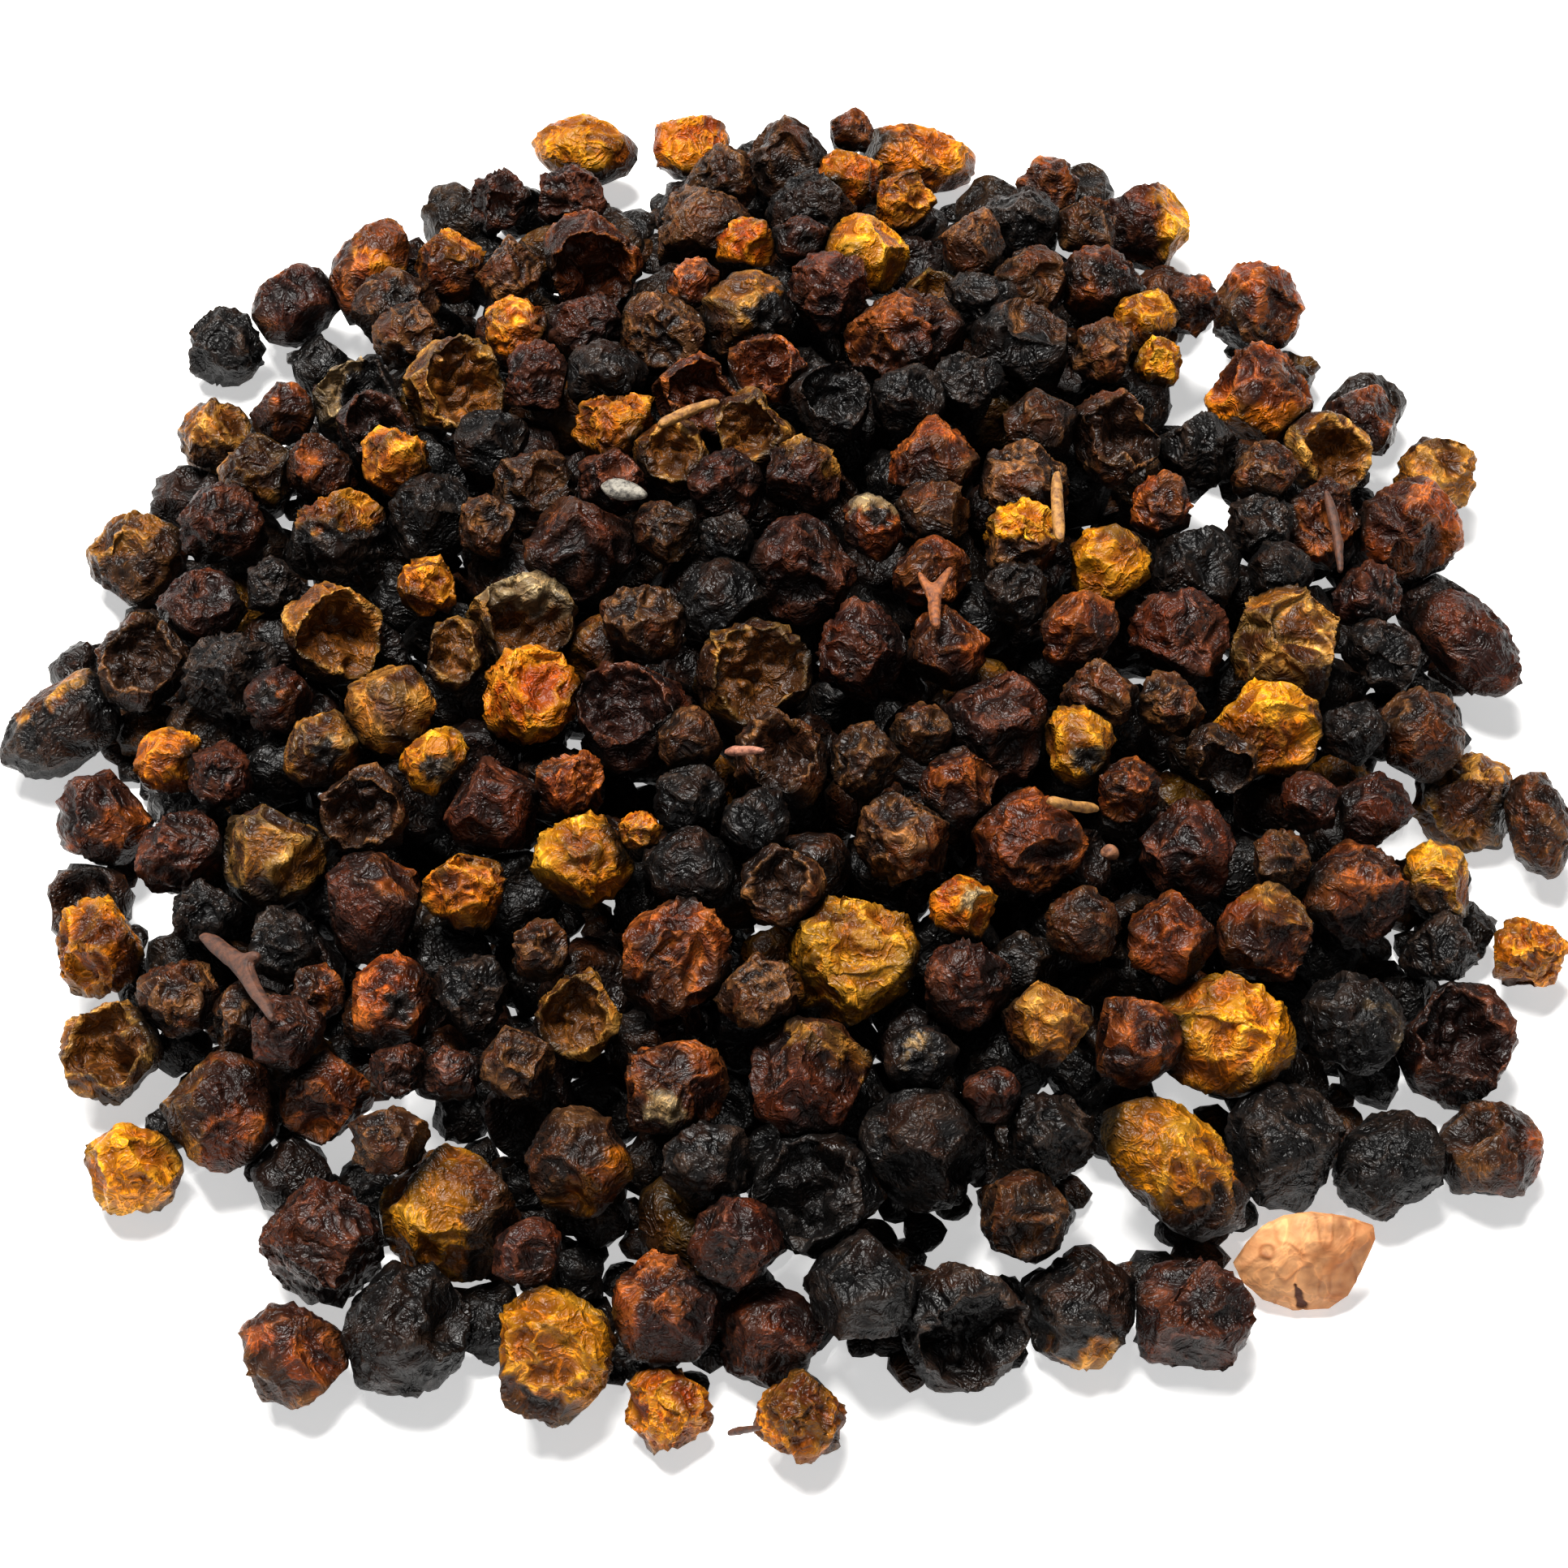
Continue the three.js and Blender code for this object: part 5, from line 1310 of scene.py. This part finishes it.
def mesh_object(
    name: str, corners: np.ndarray, triangles: np.ndarray, colours: np.ndarray
) -> bpy.types.Object:
    """Makes a smooth mesh with a colour at each corner.

    Args:
        name: Name of the object.
        corners: Places in metres, one to a row.
        triangles: Three corners to a row.
        colours: Linear colour of each corner.

    Returns:
        The object.
    """
    mesh = bpy.data.meshes.new(name)
    mesh.vertices.add(len(corners))
    mesh.vertices.foreach_set("co", corners.astype(np.float32).ravel())
    mesh.loops.add(3 * len(triangles))
    mesh.loops.foreach_set("vertex_index", triangles.astype(np.int32).ravel())
    mesh.polygons.add(len(triangles))
    mesh.polygons.foreach_set("loop_start", np.arange(0, 3 * len(triangles), 3, dtype=np.int32))
    mesh.update(calc_edges=True)
    mesh.shade_smooth()
    tint = mesh.attributes.new("tint", "FLOAT_COLOR", "POINT")
    full = np.concatenate([colours, np.ones((len(colours), 1))], axis=1)
    tint.data.foreach_set("color", full.astype(np.float32).ravel())
    piece = bpy.data.objects.new(name, mesh)
    bpy.context.scene.collection.objects.link(piece)
    return piece


@dataclass
class Bunch:
    """The berries of one CAD node, as one fine mesh.

    Attributes:
        node: Name of the node.
        members: Places of its berries in the layout.
        berries: Every berry of the heap.
        neighbours: For each berry, the berries that may touch it.
        material: Finish of the skins.
        balls: Balls made so far, by frequency.
    """

    node: str
    members: list[int]
    berries: list[Berry]
    neighbours: dict[int, list[int]]
    material: bpy.types.Material
    balls: dict[int, tuple[np.ndarray, np.ndarray]]

    def frequency(self, berry: Berry) -> int:
        """Chooses how fine a berry is.

        Args:
            berry: The berry.

        Returns:
            Frequency of its ball.
        """
        if not berry.seen:
            return HIDDEN_FREQUENCY
        least, most = SEEN_FREQUENCY
        return max(least, min(most, round(FINENESS * berry.radius)))

    def limits(self, index: int, directions: np.ndarray) -> np.ndarray:
        """Finds how far a berry can reach before it meets its neighbours.

        Args:
            index: Place of the berry in the layout.
            directions: One direction to a row.

        Returns:
            The greatest distance in each direction.
        """
        berry = self.berries[index]
        limit = np.full(len(directions), np.inf)
        for other_index in self.neighbours[index]:
            other = self.berries[other_index]
            away = other.centre - berry.centre
            distance = float(np.linalg.norm(away))
            wall = (distance**2 + berry.radius**2 - other.radius**2) / (2 * distance) - GAP / 2
            facing = directions @ (away / distance)
            reach = wall / np.maximum(facing, 1e-3)
            limit = np.minimum(limit, np.where(facing > 1e-3, reach, np.inf))
        return limit

    def build(self) -> bpy.types.Object:
        """Builds the fine mesh.

        Returns:
            The piece that stands for the node.
        """
        corners = []
        triangles = []
        colours = []
        count = 0
        for index in self.members:
            berry = self.berries[index]
            frequency = self.frequency(berry)
            if frequency not in self.balls:
                self.balls[frequency] = geodesic_ball(frequency)
            directions, faces = self.balls[frequency]
            directions = unit(directions + OUTWARD_PULL * outward(berry))
            offsets, colour = Skin(berry, index).carve(directions)
            limits = self.limits(index, unit(offsets))
            distance = np.linalg.norm(offsets, axis=1)
            # Painted shade: corners near a neighbour are darkened, as if shaded in the crevice
            # between them
            closeness = np.exp(-np.maximum(limits - distance, 0) / CREVICE_SHADE_REACH)
            colour = colour * (1 - CREVICE_SHADE * closeness)[:, None]
            # Painted shade: hidden berries are darkened, as if in the shade inside the heap
            colour = colour * (1 if berry.seen else HIDDEN_SHADE_FACTOR)
            places = berry.centre + offsets * np.minimum(1, limits / distance)[:, None]
            places[:, 2] = np.maximum(places[:, 2], 0)
            corners.append(places * MM)
            triangles.append(faces + count)
            colours.append(SKIN_DEPTH * to_linear(colour))
            count += len(directions)
        rows = (np.concatenate(part) for part in (corners, triangles, colours))
        piece = mesh_object(f"{self.node}_skins", *rows)
        piece.data.materials.append(self.material)
        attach(piece, BODY)
        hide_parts(self.node)
        return piece


@dataclass(frozen=True)
class SkinFinish:
    """Finish of skins whose colours, painted light and shade among them, are carried at their
    corners.

    Attributes:
        name: Name of the material.
        roughness: Least and greatest roughness.
        wrinkle: Depth of the wrinkles, in metres.
        grain: Wrinkles to the metre.
        vein: How strongly the wrinkles stand out in colour: paler crests, partly a painted
            highlight, and painted shade between them.
    """

    name: str = "dried_berry_skin"
    roughness: tuple[float, float] = (0.28, 0.54)
    wrinkle: float = 0.0002
    grain: float = 650
    vein: float = 0.85

    def build(self) -> bpy.types.Material:
        """Builds the material.

        Returns:
            The material.
        """
        graph = Graph(self.name)
        tint = graph.add("ShaderNodeAttribute", attribute_name="tint")
        place = graph.add("ShaderNodeTexCoord").outputs["Object"]
        mottle = graph.noise(place, 1.4 * self.grain, 4, 0.6)
        dull, even, bright = (0.5, 0.47, 0.45), (1, 1, 1), (1.35, 1.3, 1.22)
        shade = graph.ramp(mottle, [(0.3, dull), (0.5, even), (0.72, bright)])
        toned = graph.mix("MULTIPLY", 0.8, tint.outputs["Color"], shade)
        folds = graph.noise(place, self.grain, 3, 0.55, 0.9)
        # Painted light and shade on the wrinkles: the crests are paler, partly as a painted
        # highlight, and the skin between them darker as painted shade
        valley, slope, top = (0.55, 0.5, 0.48), (0.85, 0.82, 0.8), (2.2, 2.0, 1.7)
        stops = [(0.36, valley), (0.47, slope), (0.5, top), (0.53, slope), (0.64, valley)]
        light = graph.ramp(folds, stops)
        colour = graph.mix("MULTIPLY", self.vein, toned, light)
        crinkles = graph.noise(place, 2.6 * self.grain, 2, 0.5, 0.7)
        low, high = (0, 0, 0), (1, 1, 1)
        fold_height = graph.ramp(folds, [(0.38, low), (0.5, high), (0.62, low)])
        crinkle_height = graph.ramp(crinkles, [(0.36, low), (0.5, high), (0.64, low)])
        bent = graph.bump(fold_height, 0.6, self.wrinkle, None)
        bent = graph.bump(crinkle_height, 0.45, 0.5 * self.wrinkle, bent)
        grit = graph.noise(place, 5.5 * self.grain, 3, 0.6)
        bent = graph.bump(grit, 0.4, 0.3 * self.wrinkle, bent)
        shader = graph.shader
        graph.link(colour, shader.inputs["Base Color"])
        graph.link(graph.remap(mottle, 0.3, 0.7, *self.roughness), shader.inputs["Roughness"])
        graph.link(bent, shader.inputs["Normal"])
        shader.inputs["Specular IOR Level"].default_value = 0.22
        return graph.material


@dataclass(frozen=True)
class DryFinish:
    """Finish of the chaff and the bits of stalk.

    Attributes:
        name: Name of the material.
        light: Lighter colour, as it looks.
        dark: Darker colour, as it looks.
        grain: Grains to the metre.
        roughness: Roughness of the surface.
    """

    name: str
    light: tuple[int, int, int]
    dark: tuple[int, int, int]
    grain: float = 2500
    roughness: float = 0.65

    def build(self) -> bpy.types.Material:
        """Builds the material.

        Returns:
            The material.
        """
        graph = Graph(self.name)
        place = graph.add("ShaderNodeTexCoord")
        grain = graph.noise(place.outputs["Object"], self.grain, 5, 0.6)
        light, dark = (to_linear(np.array(colour) / 255) for colour in (self.light, self.dark))
        colour = graph.ramp(grain, [(0.35, tuple(dark)), (0.62, tuple(light))])
        graph.link(colour, graph.shader.inputs["Base Color"])
        graph.shader.inputs["Roughness"].default_value = self.roughness
        fibre = graph.noise(place.outputs["Object"], 4 * self.grain, 4, 0.6)
        graph.link(graph.bump(fibre, 0.5, 0.0001, None), graph.shader.inputs["Normal"])
        return graph.material


class Graph:
    """A material's nodes, with short ways to add them."""

    # Places of the colour sockets of a mix node, which share their names with its other sockets
    COLOUR_A = 6
    COLOUR_B = 7
    COLOUR_MIXED = 2

    def __init__(self, name: str) -> None:
        """Starts a material.

        Args:
            name: Name of the material.
        """
        self.material = bpy.data.materials.new(name)
        self.material.use_nodes = True
        self.tree = self.material.node_tree
        self.shader = self.tree.nodes["Principled BSDF"]

    def add(self, kind: str, **settings: object) -> bpy.types.Node:
        """Adds a node.

        Args:
            kind: Type of the node.
            **settings: Values of its properties.

        Returns:
            The node.
        """
        node = self.tree.nodes.new(kind)
        for name, value in settings.items():
            setattr(node, name, value)
        return node

    def link(self, output: bpy.types.NodeSocket, target: bpy.types.NodeSocket) -> None:
        """Joins two sockets.

        Args:
            output: Where the value comes from.
            target: Where it goes.
        """
        self.tree.links.new(output, target)

    def noise(
        self,
        place: bpy.types.NodeSocket,
        scale: float,
        detail: float,
        rough: float,
        twist: float = 0,
    ) -> bpy.types.NodeSocket:
        """Adds noise.

        Args:
            place: Coordinates.
            scale: Grains to the metre.
            detail: Number of finer layers.
            rough: Strength of the finer layers.
            twist: How far the grains are drawn out of shape.

        Returns:
            The noise's value.
        """
        node = self.add("ShaderNodeTexNoise")
        node.inputs["Scale"].default_value = scale
        node.inputs["Detail"].default_value = detail
        node.inputs["Roughness"].default_value = rough
        node.inputs["Distortion"].default_value = twist
        self.link(place, node.inputs["Vector"])
        return node.outputs["Fac"]

    def ramp(
        self, value: bpy.types.NodeSocket, stops: list[tuple[float, tuple[float, float, float]]]
    ) -> bpy.types.NodeSocket:
        """Adds a colour ramp.

        Args:
            value: What the ramp is read with.
            stops: Places from 0 to 1 and their linear colours.

        Returns:
            The colour.
        """
        node = self.add("ShaderNodeValToRGB")
        elements = node.color_ramp.elements
        while len(elements) < len(stops):
            elements.new(0.5)
        for element, (position, colour) in zip(elements, stops):
            element.position = position
            element.color = (*colour, 1)
        self.link(value, node.inputs["Fac"])
        return node.outputs["Color"]

    def mix(
        self, blend: str, share: float, first: bpy.types.NodeSocket, second: bpy.types.NodeSocket
    ) -> bpy.types.NodeSocket:
        """Mixes two colours.

        Args:
            blend: Way of mixing.
            share: How much of the second colour.
            first: One colour.
            second: The other colour.

        Returns:
            The mixed colour.
        """
        node = self.add("ShaderNodeMix", data_type="RGBA", blend_type=blend)
        node.inputs["Factor"].default_value = share
        self.link(first, node.inputs[self.COLOUR_A])
        self.link(second, node.inputs[self.COLOUR_B])
        return node.outputs[self.COLOUR_MIXED]

    def remap(
        self, value: bpy.types.NodeSocket, low: float, high: float, least: float, most: float
    ) -> bpy.types.NodeSocket:
        """Brings a value from one range to another.

        Args:
            value: The value.
            low: Start of its range.
            high: End of its range.
            least: Start of the new range.
            most: End of the new range.

        Returns:
            The new value.
        """
        node = self.add("ShaderNodeMapRange")
        ends = {"From Min": low, "From Max": high, "To Min": least, "To Max": most}
        for name, number in ends.items():
            node.inputs[name].default_value = number
        self.link(value, node.inputs["Value"])
        return node.outputs["Result"]

    def bump(
        self,
        height: bpy.types.NodeSocket,
        strength: float,
        distance: float,
        normal: bpy.types.NodeSocket | None,
    ) -> bpy.types.NodeSocket:
        """Adds a bump.

        Args:
            height: Height from 0 to 1.
            strength: How strongly it shows.
            distance: Depth in metres.
            normal: A bump under this one.

        Returns:
            The bent normal.
        """
        node = self.add("ShaderNodeBump")
        node.inputs["Strength"].default_value = strength
        node.inputs["Distance"].default_value = distance
        self.link(height, node.inputs["Height"])
        if normal is not None:
            self.link(normal, node.inputs["Normal"])
        return node.outputs["Normal"]


def joined_solid(node: str) -> bmesh.types.BMesh:
    """Copies a CAD node's solid, with the corners at one place joined.

    Args:
        node: Name of the node.

    Returns:
        The solid, ready to work on.
    """
    work = bmesh.new()
    work.from_mesh(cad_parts[node].data)
    bmesh.ops.remove_doubles(work, verts=work.verts, dist=JOIN_WITHIN)
    return work


@dataclass
class LooseBit:
    """A flake or bit of stalk: its solid made smooth and uneven.

    Attributes:
        node: Name of the CAD node.
        slot: Not used here.
        finish: Material.
        levels: How many times it is subdivided.
        swell: How far it is pushed out, in metres, to keep its size.
        uneven: Height of its unevenness, in metres.
        grain: Grains of the unevenness to the metre.
    """

    node: str
    slot: str
    finish: bpy.types.Material
    levels: int = 3
    swell: float = 0.00004
    uneven: float = 0.00006
    grain: float = 1400

    def build(self) -> bpy.types.Object:
        """Builds the piece.

        Returns:
            The piece that stands for the node.
        """
        name = f"{self.node}_fine"
        work = joined_solid(self.node)
        mesh = bpy.data.meshes.new(name)
        work.to_mesh(mesh)
        work.free()
        piece = bpy.data.objects.new(name, mesh)
        bpy.context.scene.collection.objects.link(piece)
        smooth = piece.modifiers.new("smooth", "SUBSURF")
        smooth.levels = self.levels
        smooth.render_levels = self.levels
        bpy.context.view_layer.objects.active = piece
        with bpy.context.temp_override(object=piece, active_object=piece):
            bpy.ops.object.modifier_apply(modifier="smooth")
        mesh = piece.data
        places = np.array([vertex.co for vertex in mesh.vertices])
        normals = np.array([vertex.normal for vertex in mesh.vertices])
        lift = self.swell + self.uneven * lattice_noise(places * self.grain, 5)
        raised = places + normals * lift[:, None]
        mesh.vertices.foreach_set("co", raised.astype(np.float32).ravel())
        mesh.shade_smooth()
        mesh.materials.clear()
        mesh.materials.append(self.finish)
        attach(piece, BODY)
        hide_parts(self.node)
        return piece


@dataclass
class Husk:
    """The pale seed husk: a thin crisp leaf with a ring-shaped scar, a crack and veins.

    Attributes:
        material: Finish of its skin.
        node: Name of the CAD node.
        cuts: Cuts along each edge of the solid.
        smoothing: Rounds of smoothing inside the rims.
        rim: Least angle between the faces at a rim, in radians.
        sharp: Least angle of an edge that is shaded sharp, in radians.
        scar: Place of the ring across and up the landmark plane, and its radius.
        crack: The crack's ends on the landmark plane.
    """

    material: bpy.types.Material
    node: str = "pale_husk"
    cuts: int = 15
    smoothing: int = 14
    rim: float = 0.9
    sharp: float = 0.8
    scar: tuple[float, float, float] = (29.8, -28.75, 0.42)
    crack: tuple[tuple[float, float], tuple[float, float]] = ((31.5, -30.9), (31.9, -32.1))

    def build(self) -> bpy.types.Object:
        """Builds the piece.

        Returns:
            The piece that stands for the node.
        """
        work = joined_solid(self.node)
        bmesh.ops.subdivide_edges(work, edges=work.edges, cuts=self.cuts, use_grid_fill=True)
        rims = {
            vert for edge in work.edges if edge.calc_face_angle(0) > self.rim for vert in edge.verts
        }
        inner = [vert for vert in work.verts if vert not in rims]
        axes = {"use_axis_x": True, "use_axis_y": True, "use_axis_z": True}
        for _ in range(self.smoothing):
            bmesh.ops.smooth_vert(work, verts=inner, factor=0.5, **axes)
        bmesh.ops.triangulate(work, faces=work.faces)
        work.normal_update()
        places = np.array([vert.co for vert in work.verts])
        normals = np.array([vert.normal for vert in work.verts])
        triangles = np.array([[vert.index for vert in face.verts] for face in work.faces])
        work.free()
        colours, lift = self.dress(places / MM)
        places = places + normals * lift[:, None] * MM
        places[:, 2] = np.maximum(places[:, 2], 0)
        piece = mesh_object(f"{self.node}_fine", places, triangles, colours)
        piece.data.set_sharp_from_angle(angle=self.sharp)
        piece.data.materials.append(self.material)
        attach(piece, BODY)
        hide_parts(self.node)
        return piece

    def dress(self, places: np.ndarray) -> tuple[np.ndarray, np.ndarray]:
        """Colours the husk and raises its relief.

        Args:
            places: Places of its points, in millimetres.

        Returns:
            Linear colours and how far each point is raised, in millimetres.
        """
        seen = np.array([on_plane(x - SHIFT_X, y - SHIFT_Y, z) for x, y, z in places])
        wide = lattice_noise(places * 0.45, 71)
        fine = lattice_noise(places * 2.2, 72)
        veins = np.clip(1 - np.abs(lattice_noise(places * (0.9, 0.5, 0.5), 73)) / 0.12, 0, 1)
        round_scar = np.hypot(seen[:, 0] - self.scar[0], seen[:, 1] - self.scar[1])
        ring = np.exp(-(((round_scar - self.scar[2]) / 0.13) ** 2))
        start, end = (np.array(point) for point in self.crack)
        share = np.clip((seen - start) @ (end - start) / ((end - start) @ (end - start)), 0, 1)
        beside = seen - start - share[:, None] * (end - start)
        apart = np.hypot(*beside.T) + 0.2 * fine
        split = 1 - smooth_step(apart, 0.02 + 0.16 * share, 0.12 + 0.2 * share)
        tone = np.clip(0.5 + 0.5 * wide + 0.25 * fine - 0.45 * ring - 0.3 * veins, 0, 1)[:, None]
        dark, light, brown = (to_linear(np.array(rgb) / 255) for rgb in HUSK_TONES)
        colours = dark + (light - dark) * tone
        colours += (brown - colours) * split[:, None]
        return colours, 0.04 * wide + 0.02 * fine + 0.05 * veins + 0.07 * ring - 0.15 * split


@dataclass
class ShadeScraps:
    """Dark scraps on the ground inside the heap, laid as painted shade in the gaps between the
    berries.

    Attributes:
        berries: Every berry at rest.
        material: Finish of the skins.
        shots: Number of throws.
        radii: Least and greatest radius.
        edge: How far out they may lie.
        flatness: Height for a width of one.
        tuck: How far they lie under the berries, from 0 to 1.
        frequency: Frequency of each one's ball.
        low: Greatest height of the berries that they keep clear of, in radii.
        umber_share: Share of the scraps that are umber and not soot.
    """

    berries: list[Berry]
    material: bpy.types.Material
    shots: int = 30000
    radii: tuple[float, float] = (1.0, 2.0)
    edge: float = 0.8
    flatness: float = 0.4
    tuck: float = 0.42
    frequency: int = 2
    low: float = 1.3
    umber_share: float = 0.3

    def lay(self) -> list[Berry]:
        """Finds their places.

        Returns:
            The scraps, as small berries.
        """
        draws = Draws(SEED + 1)
        low = [
            [berry.x, berry.y, berry.radius]
            for berry in self.berries
            if berry.z < self.low * berry.radius
        ]
        table = np.zeros((len(low) + self.shots, 3))
        table[: len(low)] = low
        count = len(low)
        scraps = []
        for _ in range(self.shots):
            x = draws.between(-HALF_WIDTH, HALF_WIDTH)
            y = draws.between(MIDDLE_Y - HALF_DEPTH, MIDDLE_Y + HALF_DEPTH)
            radius = draws.between(*self.radii)
            z = self.flatness * radius
            if spread(x, y) > self.edge or hides_clearing((x, y, z), radius):
                continue
            away = table[:count, :2] - (x + SHIFT_X, y + SHIFT_Y)
            least = (1 - self.tuck) * (table[:count, 2] + radius)
            if np.all((away * away).sum(axis=1) > least * least):
                tone = Tone.UMBER if draws.next() < self.umber_share else Tone.SOOT
                place = (x + SHIFT_X, y + SHIFT_Y)
                scraps.append(Berry(*place, z, radius, tone, Form.CRUMPLED, False))
                table[count] = (*place, radius)
                count += 1
        return scraps

    def build(self) -> bpy.types.Object:
        """Builds the scraps.

        Returns:
            The piece.
        """
        ball, faces = geodesic_ball(self.frequency)
        corners, triangles, colours = [], [], []
        for index, scrap in enumerate(self.lay()):
            offsets, colour = Skin(scrap, len(self.berries) + index).carve(ball)
            offsets[:, 2] *= self.flatness
            places = scrap.centre + offsets
            places[:, 2] = np.maximum(places[:, 2], 0)
            corners.append(places * MM)
            triangles.append(faces + index * len(ball))
            # Painted shade: the scraps are darkened further
            colours.append(SCRAP_SHADE_FACTOR * to_linear(colour))
        rows = (np.concatenate(part) for part in (corners, triangles, colours))
        piece = mesh_object("shade_scraps", *rows)
        piece.data.materials.append(self.material)
        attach(piece, BODY)
        return piece


@dataclass
class Heap:
    """All the berries, bunch by bunch.

    Attributes:
        berries: Every berry at rest.
    """

    berries: list[Berry]

    def owners(self) -> dict[str, list[int]]:
        """Finds the CAD node that holds each berry.

        Returns:
            The places of the berries in each node.
        """
        centres = np.array([berry.centre for berry in self.berries]) * MM
        reaches = np.array([berry.radius for berry in self.berries]) * MM * OWN_REACH
        names = [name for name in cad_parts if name.startswith("berries_")]
        counts = np.zeros((len(self.berries), len(names)))
        for column, name in enumerate(names):
            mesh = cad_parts[name].data
            corners = np.zeros(3 * len(mesh.vertices))
            mesh.vertices.foreach_get("co", corners)
            corners = np.unique(corners.reshape(-1, 3).round(7), axis=0)
            away = np.linalg.norm(corners[None] - centres[:, None], axis=2)
            counts[:, column] = (away < reaches[:, None]).sum(axis=1)
        owners: dict[str, list[int]] = {name: [] for name in names}
        for index, row in enumerate(counts):
            owners[names[int(np.argmax(row))]].append(index)
        return owners

    def neighbours(self) -> dict[int, list[int]]:
        """Finds the berries that may touch each berry.

        Returns:
            The places of the near berries for each berry.
        """
        table = np.array([[*berry.centre, berry.radius] for berry in self.berries])
        distance = np.linalg.norm(table[:, None, :3] - table[None, :, :3], axis=2)
        near = distance < table[:, None, 3] + table[None, :, 3] + NEIGHBOUR_REACH
        np.fill_diagonal(near, False)
        return {index: np.nonzero(row)[0].tolist() for index, row in enumerate(near)}

    def build(self, material: bpy.types.Material) -> list[bpy.types.Object]:
        """Builds every bunch.

        Args:
            material: Finish of the skins.

        Returns:
            The pieces.
        """
        neighbours = self.neighbours()
        balls: dict[int, tuple[np.ndarray, np.ndarray]] = {}
        pieces = []
        for node, members in self.owners().items():
            pieces.append(Bunch(node, members, self.berries, neighbours, material, balls).build())
        return pieces


@dataclass(frozen=True)
class Lamp:
    """A soft square light that looks at the heap.

    Attributes:
        name: Name of the light.
        place: Where it is, in metres.
        size: Length of its side, in metres.
        power: Power in watts.
        colour: Linear colour.
    """

    name: str
    place: tuple[float, float, float]
    size: float
    power: float
    colour: tuple[float, float, float]

    def build(self) -> None:
        """Adds the light."""
        light = bpy.data.lights.new(self.name, "AREA")
        light.size = self.size
        light.energy = self.power
        light.color = self.colour
        lamp = bpy.data.objects.new(self.name, light)
        lamp.location = self.place
        lamp.rotation_euler = Vector(self.place).to_track_quat("Z", "Y").to_euler()
        bpy.context.scene.collection.objects.link(lamp)


class Studio:
    """Floor, lights, sky and camera."""

    FLOOR_HALF = 30.0
    FLOOR_SINK = 0.0002
    FLOOR_GLOW = 0.5
    SKY_GLOW = 0.06
    LAMPS = (
        Lamp("key", (-0.08, 0.1, 0.5), 0.2, 6.6, (1.0, 0.98, 0.95)),
        Lamp("spark", (-0.22, 0.2, 0.45), 0.05, 0.8, (1.0, 0.98, 0.95)),
        Lamp("fill", (0.05, -0.45, 0.3), 0.4, 0.45, (0.96, 0.98, 1.0)),
    )

    def build(self) -> None:
        """Builds the whole studio."""
        self.add_floor()
        for lamp in self.LAMPS:
            lamp.build()
        self.add_world()
        self.add_camera()
        settings = bpy.context.scene.view_settings
        settings.view_transform = "Standard"
        settings.look = "None"

    def add_floor(self) -> None:
        """Lays a plain pale floor."""
        mesh = bpy.data.meshes.new("floor")
        half = self.FLOOR_HALF
        corners = [(-half, -half, 0), (half, -half, 0), (half, half, 0), (-half, half, 0)]
        mesh.from_pydata(corners, [], [(0, 1, 2, 3)])
        floor = bpy.data.objects.new("floor", mesh)
        floor.location.z = -self.FLOOR_SINK
        bpy.context.scene.collection.objects.link(floor)
        graph = Graph("floor_white")
        graph.shader.inputs["Base Color"].default_value = (0.9, 0.9, 0.9, 1)
        graph.shader.inputs["Roughness"].default_value = 0.8
        graph.shader.inputs["Emission Color"].default_value = (1, 1, 1, 1)
        graph.shader.inputs["Emission Strength"].default_value = self.FLOOR_GLOW
        mesh.materials.append(graph.material)

    def add_world(self) -> None:
        """Lights the scene a little from all round."""
        world = bpy.data.worlds.new("pale_room")
        world.use_nodes = True
        sky = world.node_tree.nodes["Background"]
        sky.inputs["Color"].default_value = (1, 1, 1, 1)
        sky.inputs["Strength"].default_value = self.SKY_GLOW
        bpy.context.scene.world = world

    def add_camera(self) -> None:
        """Sets the camera at the eye that the landmarks are seen from."""
        camera = bpy.data.cameras.new("camera")
        camera.sensor_width = SENSOR_WIDTH
        camera.lens = SENSOR_WIDTH * VIEW_DISTANCE / PHOTO_WIDTH
        eye = bpy.data.objects.new("camera", camera)
        eye.location = Vector((EYE[0] + SHIFT_X, EYE[1] + SHIFT_Y, EYE[2])) * MM
        eye.rotation_euler = Vector(TOWARDS_VIEWER).to_track_quat("Z", "Y").to_euler()
        bpy.context.scene.collection.objects.link(eye)
        bpy.context.scene.camera = eye


# Light and dark colours of the bits of stalk and of the flake
STRAW = ((176, 126, 62), (98, 58, 24))
WOOD = ((88, 50, 30), (40, 20, 13))
ASH = ((150, 144, 132), (44, 40, 36))
LOOSE_BITS = {
    "pale_twig": STRAW,
    "standing_stalk": STRAW,
    "short_twig": STRAW,
    "pink_twig": ((176, 118, 94), (104, 58, 44)),
    "stalk_knob": ((150, 100, 68), (80, 44, 30)),
    "forked_twig": ((150, 84, 36), (76, 36, 16)),
    "dark_stalk": WOOD,
    "front_stalk": WOOD,
    "branching_twig": WOOD,
    "pale_flake": ASH,
}


def main() -> None:
    """Builds the scene."""
    logging.basicConfig(level=logging.INFO, format="%(message)s")
    Studio().build()
    berries = Layout().lay()
    skin = SkinFinish().build()
    pieces = Heap(berries).build(skin)
    pieces.append(ShadeScraps(berries, skin).build())
    for node, (light, dark) in LOOSE_BITS.items():
        finish = DryFinish(f"{node}_finish", light, dark).build()
        pieces.append(LooseBit(node, "chaff" if node == "pale_flake" else "stalk", finish).build())
    husk = SkinFinish("dry_husk_skin", (0.5, 0.66), 0.00006, 420, 0.22).build()
    pieces.append(Husk(husk).build())
    for piece in pieces:
        logging.info("%s: %d faces", piece.name, len(piece.data.polygons))
    faces = sum(len(piece.data.polygons) for piece in pieces)
    logging.info("%d berries, %d faces", len(berries), faces)


if __name__ == "__main__":
    main()
